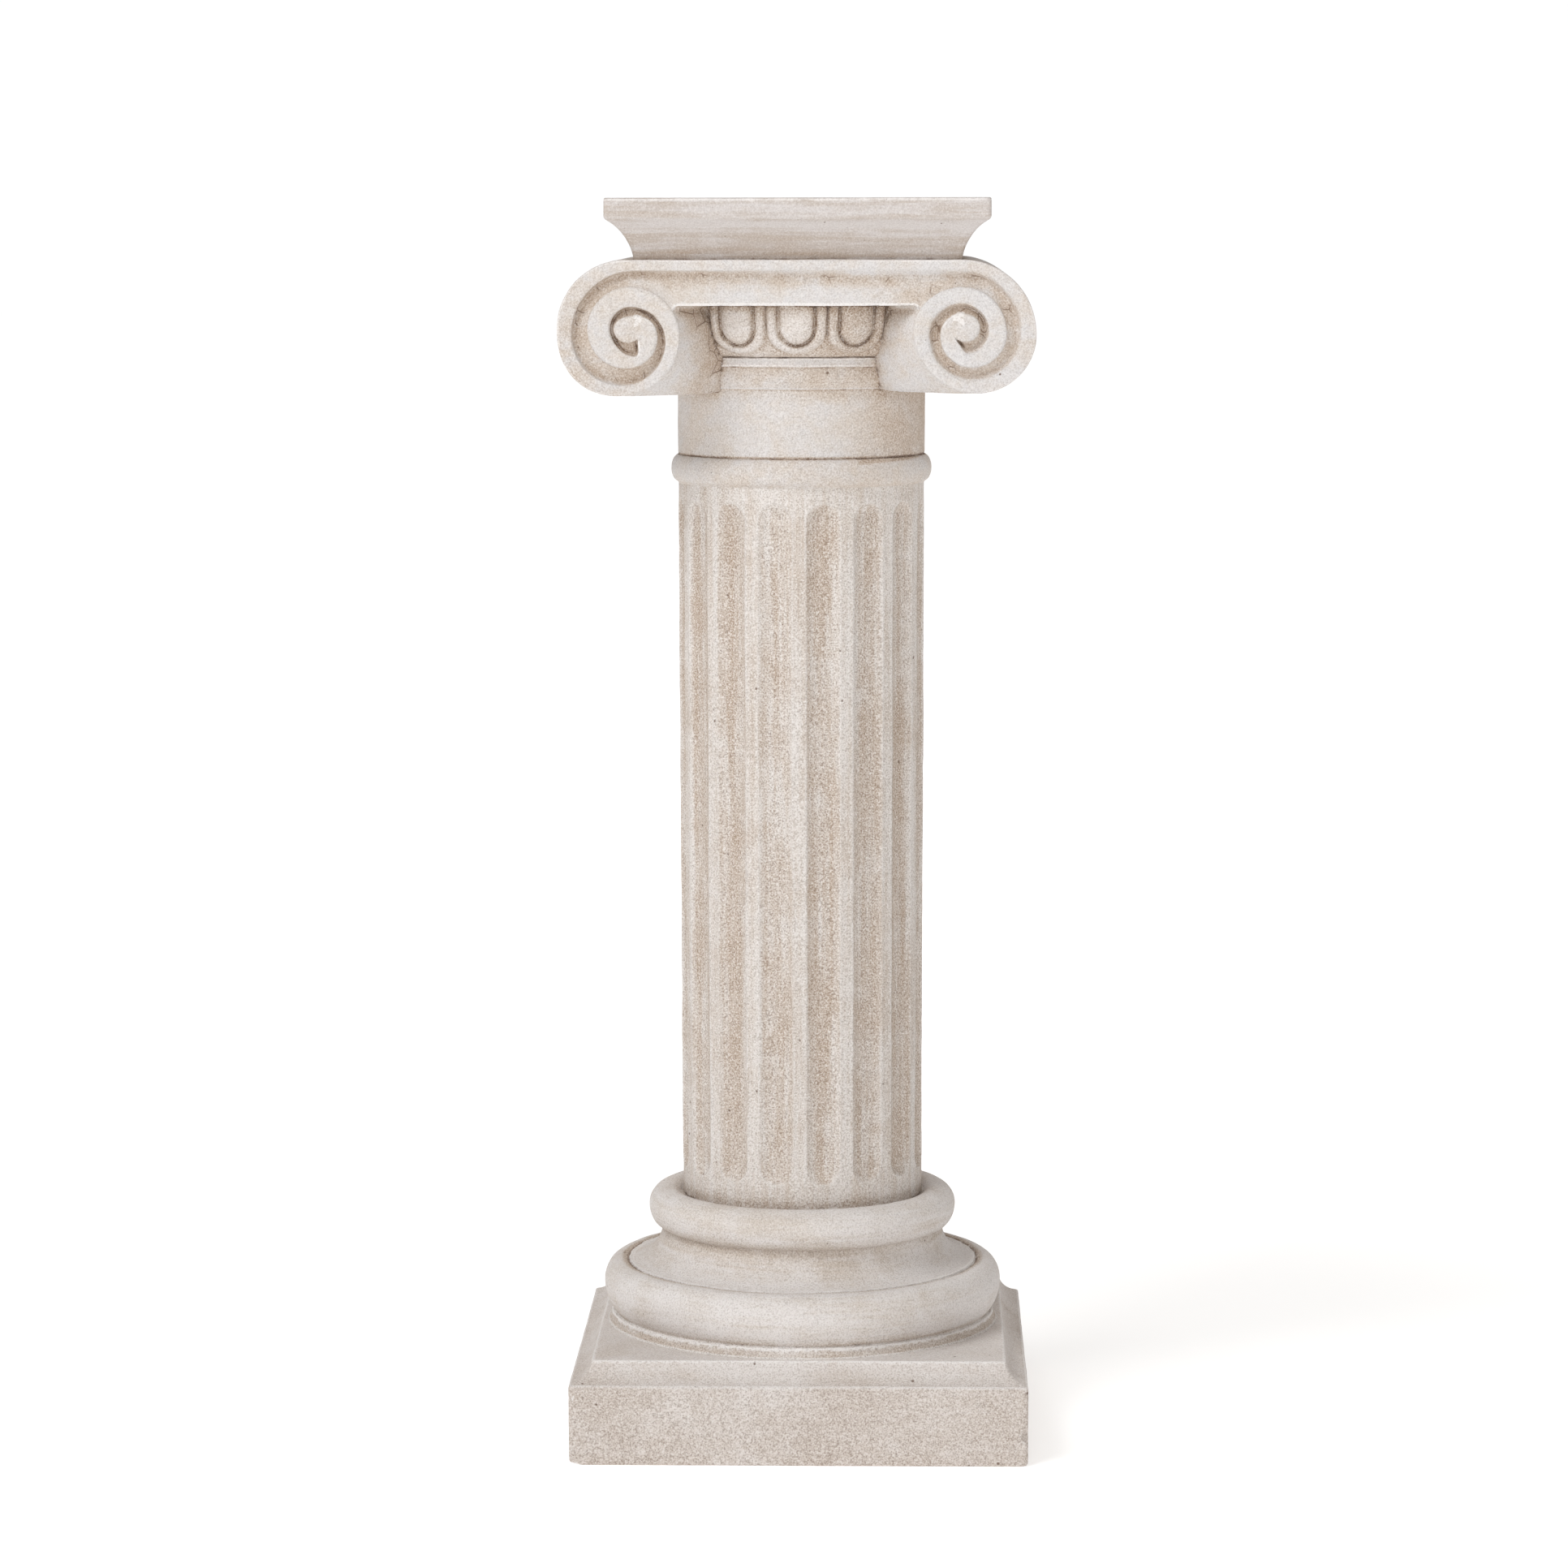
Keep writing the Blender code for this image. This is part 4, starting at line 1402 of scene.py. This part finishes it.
        run = np.clip(0.3 * band_width, 1e-6, self.edge_run)
        crest = outer_drop * (1.0 - fullness)
        start = self.lip_drop * open_share + inner_drop * (1.0 - open_share)
        band = crest + (outer_drop - crest) * (1.0 - rounded(band_share * band_width, run))
        band = band + (start - crest) * (1.0 - rounded((1.0 - band_share) * band_width, run))
        into = channel_share * channel_width
        wall = self.middle_run + (scroll.wall_run - self.middle_run) * ease(along, -2.0, -1.2)[:, None]
        wall = np.minimum(np.maximum(0.45 * channel_width, 1e-6), wall)
        past = np.clip((into - wall) / np.maximum(channel_width - wall, 1e-6), 0.0, 1.0)
        deep = inner_drop + (self.recess - inner_drop) * open_share
        floor = deep + (inner_drop - deep) * past ** 1.6
        sunk = start + (floor - start) * ease(into / wall, 0.0, 1.0)

        flat = [outer[:, None] + (lip - outer)[:, None] * band_share[..., None],
                lip[:, None] + (inner - lip)[:, None] * channel_share[..., None]]
        flat = np.concatenate(flat, axis=1)
        drop = np.concatenate((band + np.zeros_like(band_width), sunk), axis=1)
        points = np.stack((flat[..., 0], drop - self.face_depth, flat[..., 1]), axis=-1)
        middle = 1.0 - ease(along, scroll.brown_start, scroll.brown_start + 0.9)[:, None]
        channel_wash = 0.55 * open_share * (1.0 - middle * ease(past, 0.15, 0.7))
        channel_wash = channel_wash * (0.35 + 0.65 * ease(into / wall, 0.5, 1.1))
        stained = 1.0 - ease(np.abs(along - 1.4), 0.3, 1.3)[:, None]
        band_wash = 0.06 + scroll.band_stain * stained
        wash = np.concatenate((band_wash + 0.0 * band, channel_wash + 0.0 * sunk), axis=1)
        return Patch(points, wash)

    def eye(self, rim: np.ndarray) -> Patch:
        """Make the eye, from its rim in to its slightly raised middle.

        Args:
            rim: The rim's points in space.

        Returns:
            The eye's patch.
        """
        centre = rim.mean(axis=0)
        shares = np.array((0.0, 0.03, 0.08, 0.16, 0.3, 0.45, 0.6, 0.75, 0.9, 1.0))[:, None, None]
        points = rim[None] + (centre - rim[None]) * shares
        drop = (rim[:, 1] + self.face_depth)[None, :]
        share = shares[..., 0]
        lift = self.eye_rise * ease(share, 0.0, 0.8)
        points[..., 1] = drop * (1.0 - rounded(share, self.eye_edge)) - lift - self.face_depth
        return Patch(points, np.full(points.shape[:2], self.eye_wash))

    def roll(self, scroll: Scroll, outline: np.ndarray, drops: np.ndarray, way: np.ndarray,
             corner_x: float) -> Patch:
        """Make the roll that runs from face to face.

        Args:
            scroll: The scroll.
            outline: The face's outline, from its top middle round to its lower middle.
            drops: How far behind the face each of its points lies.
            way: How many quarter turns from the scroll's top each is.
            corner_x: The x of the canalis's lower corner.

        Returns:
            The roll's patch, a ring of the outline at each place from front to back.
        """
        shares = np.linspace(0.0, 1.0, self.roll_steps + 1)
        shares = (shares + 0.35 * np.sin(math.tau * shares) * -1.0 / math.tau)[:, None]
        front = (drops - self.face_depth)[None, :]
        y = front * (1.0 - 2.0 * shares)
        depth = np.abs(front) - np.abs(y)
        x = np.broadcast_to(outline[None, :, 0], y.shape)
        z = np.broadcast_to(outline[None, :, 1], y.shape)
        way = way[None, :]
        on_scroll = (way > 0.0) * (1.0 - ease(way, 2.5, 3.1))
        drawn_in = self.waist * ease(depth, self.waist_start, self.face_depth)
        waist = drawn_in * on_scroll
        bottom = outline[:, 1].min()
        x_waisted = scroll.top_x + (x - scroll.top_x) * (1.0 - waist)
        z_waisted = self.top + (z - self.top) * (1.0 - waist)
        low = self.top + (bottom - self.top) * (1.0 - drawn_in)

        spread = np.minimum(self.inner_slope * depth, self.inner_reach)
        angle = np.clip(way - 2.0, 0.0, 1.0) * math.pi / 2.0
        turned_in = (way >= 2.0) & (way <= self.soffit_start)
        x_in = x_waisted - spread * np.sin(angle)
        z_in = np.maximum(low, z_waisted - spread * np.cos(angle))
        flat_end = corner_x - self.fillet
        soffit = way > self.soffit_start
        squeeze = np.where(x > flat_end, x - spread, x * (flat_end - spread) / flat_end)
        new_x = np.where(soffit, squeeze, np.where(turned_in, x_in, x_waisted))
        new_z = np.where(soffit, z, np.where(turned_in, z_in, z_waisted))
        points = np.stack((new_x, y, new_z), axis=-1)
        # Painted shade: the wash is raised on the roll's inner side, most on the left scroll, at the corner
        # under the canalis and on the soffit.
        inner = ease(way, 2.0, 2.8) * ease(depth, 0.004, 0.034)
        corner = ease(way, 2.5, 3.2) * ease(depth, 0.001, 0.012) * (way < 3.5)
        wash = 0.12 + scroll.inner_painted_shade * inner + 0.30 * corner + 0.12 * soffit
        return Patch(points, wash * np.ones_like(y))


@dataclass
class Abacus:
    """The square slab with a hollow flare up to its plain band."""

    foot: float
    top: float
    foot_half: float = 0.0986
    half: float = 0.1156
    flare_height: float = 0.0255
    flare_hollow: float = 0.0031
    lip: float = 0.0030
    arris: float = 0.0011
    corner: float = 0.0026
    pitch: float = 0.0023
    top_rows: int = 44
    # Painted shade: a darker lime and thin lime than the plinth's, so this piece reads darker under the high
    # light.
    finish: Limewash = Limewash("limewash_brushed_along", BrushWay.AROUND, 0.80, 1.8, 0.9, 0.0, 0.55,
                                lime=(203, 197, 194), thin_lime=(188, 178, 170))

    def build(self) -> bpy.types.Object:
        """Build the abacus.

        Returns:
            The piece.
        """
        band_foot = self.foot + self.flare_height
        profile = np.concatenate((
            washed([(self.foot_half - 0.0002, self.foot - EMBED)], 0.7),
            washed(bow((self.foot_half, self.foot),
                       (self.half - 0.7 * self.lip, band_foot - 0.7 * self.lip), -self.flare_hollow,
                       18), 0.24, 0.06),
            washed(arc((self.half - self.lip, band_foot + 0.3 * self.lip), (self.lip, self.lip),
                       -58.0, 0.0, 5), 0.06, 0.16),
            washed(arc((self.half - self.arris, self.top - self.arris), (self.arris, self.arris),
                       0.0, 90.0, 5), 0.20, 0.05)))
        outside = squared(close_up(profile, self.pitch), self.corner, self.pitch)
        outside.close_first = True
        rim = outside.points[-1]
        face = flat_inward(rim, np.zeros_like(rim[:, :2]), self.top_rows, 0.14)
        return piece_from("abacus", [outside, face])


@dataclass
class Weathering:
    """Roughens the cast faces, rubs and chips their edges, and paints shade, mixed with grime, in creases
    and under overhangs where faces lie close together.
    """

    low: np.ndarray
    high: np.ndarray
    swell: float = 0.00022
    swell_size: float = 0.028
    ripple: float = 0.00010
    ripple_size: float = 0.008
    grit_size: float = 0.003
    rough: float = 0.00032
    rough_size: float = 0.0022
    chip: float = 0.0016
    chip_size: float = 0.006
    chip_grit_size: float = 0.0025
    chip_limit: float = 0.45
    line_reach: float = 0.0020
    shade_reach: float = 0.0070
    worn_reach: float = 0.0016
    resting_height: float = 0.0006

    def roughen(self, piece: bpy.types.Object) -> None:
        """Leave the slight lumps of a hand-finished casting on one piece.

        Args:
            piece: The piece.
        """
        points, facing = coordinates(piece.data), directions(piece.data)
        lift = self.swell * lumps(points, self.swell_size, 1)
        lift = lift + self.ripple * lumps(points, self.ripple_size, 2)
        lift += 0.4 * self.ripple * lumps(points, self.grit_size, 3)
        resting = points[:, 2] < self.resting_height
        points += facing * (lift * ~resting)[:, None]
        move_points(piece.data, np.clip(points, self.low, self.high))

    def tree(self, pieces: Sequence[bpy.types.Object]) -> BVHTree:
        """Gather the faces of some pieces for a search.

        Args:
            pieces: The pieces.

        Returns:
            The search tree.
        """
        points, faces, first = [], [], 0
        for piece in pieces:
            points += coordinates(piece.data).tolist()
            faces += [[first + index for index in face.vertices] for face in piece.data.polygons]
            first = len(points)
        return BVHTree.FromPolygons(points, faces)

    def closeness(self, tree: BVHTree, places: np.ndarray, reach: float) -> np.ndarray:
        """How far short of the reach the nearest face lies from each place, as a share of it.

        Args:
            tree: The faces to search.
            places: The places.
            reach: How far from each to look.

        Returns:
            A share from 0 to 1 for each place.
        """
        found = [tree.find_nearest(place, reach * 1.05)[3] for place in places.tolist()]
        gaps = np.array([reach if gap is None else gap for gap in found])
        return np.clip(1.0 - gaps / reach, 0.0, 1.0)

    def weather(self, pieces: Sequence[bpy.types.Object], shade_and_dirt_strength: Sequence[float]) -> None:
        """Weather all the pieces together, so that painted shade and grime darken the places where one meets
        another.

        Args:
            pieces: The pieces of the stand.
            shade_and_dirt_strength: How strongly painted shade and grime darken each.
        """
        for piece in pieces:
            self.roughen(piece)
        whole = self.tree(pieces)
        for piece, shade_and_dirt_factor in zip(pieces, shade_and_dirt_strength):
            points, facing = coordinates(piece.data), directions(piece.data)
            # Painted shade: line and shade measure how close other faces lie in front of each point, as in
            # creases and under overhangs.
            line = self.closeness(whole, points + facing * self.line_reach, self.line_reach)
            shade = self.closeness(whole, points + facing * self.shade_reach, self.shade_reach)
            own = self.tree([piece])
            worn = self.closeness(own, points - facing * self.worn_reach, self.worn_reach)
            chips = lumps(points, self.chip_size, 7) + 0.5 * lumps(points, self.chip_grit_size, 8)
            chips = np.maximum(chips - self.chip_limit, 0.0)
            ridged = line + 1.2 * painted(piece.data, "worn")
            lift = self.rough * ridged * lumps(points, self.rough_size, 9) - self.chip * worn * chips
            lift = lift * (points[:, 2] > self.resting_height)
            move_points(piece.data, np.clip(points + facing * lift[:, None], self.low, self.high))
            # Painted shade: the brown wash is raised where other faces lie close in front, under overhangs
            # and in hollows, mixed with the real brown ground.
            paint(piece.data, "wash", painted(piece.data, "wash") + 0.38 * shade_and_dirt_factor * ease(shade, 0.12, 0.9))
            # Painted shade and grime: creases are darkened through the crevice value.
            crevice_shade_and_dirt = ease(line, 0.12, 0.95) + 0.15 * ease(shade, 0.5, 1.0)
            paint(piece.data, "crevice", painted(piece.data, "crevice") + shade_and_dirt_factor * crevice_shade_and_dirt)
            paint(piece.data, "worn", painted(piece.data, "worn") + ease(worn, 0.03, 0.5))


@dataclass
class Studio:
    """The pale floor, the soft lights and the camera of a plain product photograph."""

    camera_place: tuple[float, float, float] = (0.0620, -3.1252, 0.7662)
    yaw: float = -1.34112
    pitch: float = 6.65959
    roll: float = -0.100897
    focal_pixels: float = 6193.31
    frame_pixels: float = 1932.0
    sensor: float = 36.0
    floor_reach: float = 30.0
    aim_height: float = 0.42

    def set_up(self) -> None:
        """Add the floor, the lights, the world and the camera."""
        self.add_floor()
        self.add_world()
        self.add_light("window_light", (-3.4, -3.5, 5.7), 3.4, 238.0, (0.97, 0.985, 1.0))
        self.add_light("front_light", (0.2, -3.3, 2.0), 1.4, 22.0, (0.99, 0.99, 1.0))
        self.add_light("fill_light", (2.3, -1.6, 1.3), 1.8, 2.2, (1.0, 0.95, 0.90))
        self.add_light("back_light", (0.5, 2.8, 2.2), 1.8, 16.0, (1.0, 0.96, 0.92))
        self.add_camera()

    def add_floor(self) -> None:
        """Add the plain pale floor, which glows more the further it lies from the stand."""
        reach = self.floor_reach
        data = bpy.data.meshes.new("studio_floor")
        corners = [(-reach, -reach, 0.0), (reach, -reach, 0.0), (reach, reach, 0.0), (-reach, reach, 0.0)]
        data.from_pydata(corners, [], [(0, 1, 2, 3)])
        floor = bpy.data.objects.new("studio_floor", data)
        bpy.context.scene.collection.objects.link(floor)
        paper = bpy.data.materials.new("pale_studio_floor")
        paper.use_nodes = True
        shader = paper.node_tree.nodes["Principled BSDF"]
        shader.inputs["Base Color"].default_value = (0.90, 0.90, 0.90, 1.0)
        shader.inputs["Roughness"].default_value = 0.9
        shader.inputs["Specular IOR Level"].default_value = 0.1
        shader.inputs["Emission Color"].default_value = (1.0, 1.0, 1.0, 1.0)
        wires = Wiring(paper.node_tree)
        away = wires.node("ShaderNodeVectorMath")
        away.operation = "LENGTH"
        wires.join(wires.node("ShaderNodeTexCoord").outputs["Object"], away.inputs[0])
        # Painted light: the floor's glow rises with distance from the stand, so it reads white far off but
        # keeps a soft shade near the stand.
        far_glow = wires.between(away.outputs["Value"], 0.3, 2.4)
        wires.join(wires.sum(wires.times(far_glow, 0.32), 0.42), shader.inputs["Emission Strength"])
        data.materials.append(paper)

    def add_world(self) -> None:
        """Add the even white surroundings, softer as a light than they look behind the stand."""
        world = bpy.data.worlds.new("white_studio")
        world.use_nodes = True
        bpy.context.scene.world = world
        wires = Wiring(world.node_tree)
        background = world.node_tree.nodes["Background"]
        seen = wires.node("ShaderNodeLightPath").outputs["Is Camera Ray"]
        warm, white = (1.0, 0.965, 0.93, 1.0), (1.0, 1.0, 1.0, 1.0)
        wires.join(wires.mix(seen, warm, white), background.inputs["Color"])
        wires.join(wires.sum(wires.times(seen, 0.66), 0.36), background.inputs["Strength"])

    def add_light(self, name: str, place: tuple[float, float, float], size: float, power: float,
                  colour: tuple[float, float, float]) -> None:
        """Add one square soft light that points at the middle of the stand.

        Args:
            name: The light's name.
            place: Where it hangs.
            size: The length of its side.
            power: Its power in watts.
            colour: Its red, green and blue.
        """
        lamp = bpy.data.lights.new(name, "AREA")
        lamp.size = size
        lamp.energy = power
        lamp.color = colour
        light = bpy.data.objects.new(name, lamp)
        light.location = place
        way = Vector((0.0, 0.0, self.aim_height)) - Vector(place)
        light.rotation_euler = way.to_track_quat("-Z", "Y").to_euler()
        bpy.context.scene.collection.objects.link(light)

    def add_camera(self) -> None:
        """Add the camera at the photograph's place and angle."""
        yaw, pitch, roll = (math.radians(angle) for angle in (self.yaw, self.pitch, self.roll))
        ahead = Vector((math.sin(yaw) * math.cos(pitch), math.cos(yaw) * math.cos(pitch), -math.sin(pitch)))
        level = Vector((math.cos(yaw), -math.sin(yaw), 0.0))
        up = level.cross(ahead)
        right = math.cos(roll) * level + math.sin(roll) * up
        up = -math.sin(roll) * level + math.cos(roll) * up
        lens = bpy.data.cameras.new("product_camera")
        lens.sensor_width = self.sensor
        lens.lens = self.focal_pixels / self.frame_pixels * self.sensor
        camera = bpy.data.objects.new("product_camera", lens)
        turn = Matrix((right, up, -ahead)).transposed().to_4x4()
        camera.matrix_world = Matrix.Translation(Vector(self.camera_place)) @ turn
        bpy.context.scene.collection.objects.link(camera)
        bpy.context.scene.camera = camera
        bpy.context.scene.view_settings.view_transform = "Standard"


def main() -> None:
    """Build the stand and its studio."""
    logging.basicConfig(level=logging.INFO, format="%(message)s")
    low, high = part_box(CASTING)
    plinth = Plinth(half=high.y)
    base = Base(foot=plinth.top)
    shaft = Shaft(foot=base.top, seat=base.seat)
    neck = Neck(foot=shaft.top)
    eggs = EggBand(foot=neck.top)
    head = ScrolledHead(foot=eggs.top)
    abacus = Abacus(foot=head.top, top=high.z)
    pieces, shade_and_dirt_strength = [], []
    for part in (plinth, base, shaft, neck, eggs, head, abacus):
        piece = part.build()
        piece.data.materials.append(part.finish.material())
        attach(piece, "root")
        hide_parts(CASTING)
        pieces.append(piece)
        shade_and_dirt_strength.append(part.finish.shade_and_dirt_strength)
        LOG.info("built %s with %d faces", piece.name, len(piece.data.polygons))
    Weathering(np.array(low), np.array(high)).weather(pieces, shade_and_dirt_strength)
    LOG.info("weathered %d pieces", len(pieces))
    Studio().set_up()


if __name__ == "__main__":
    main()
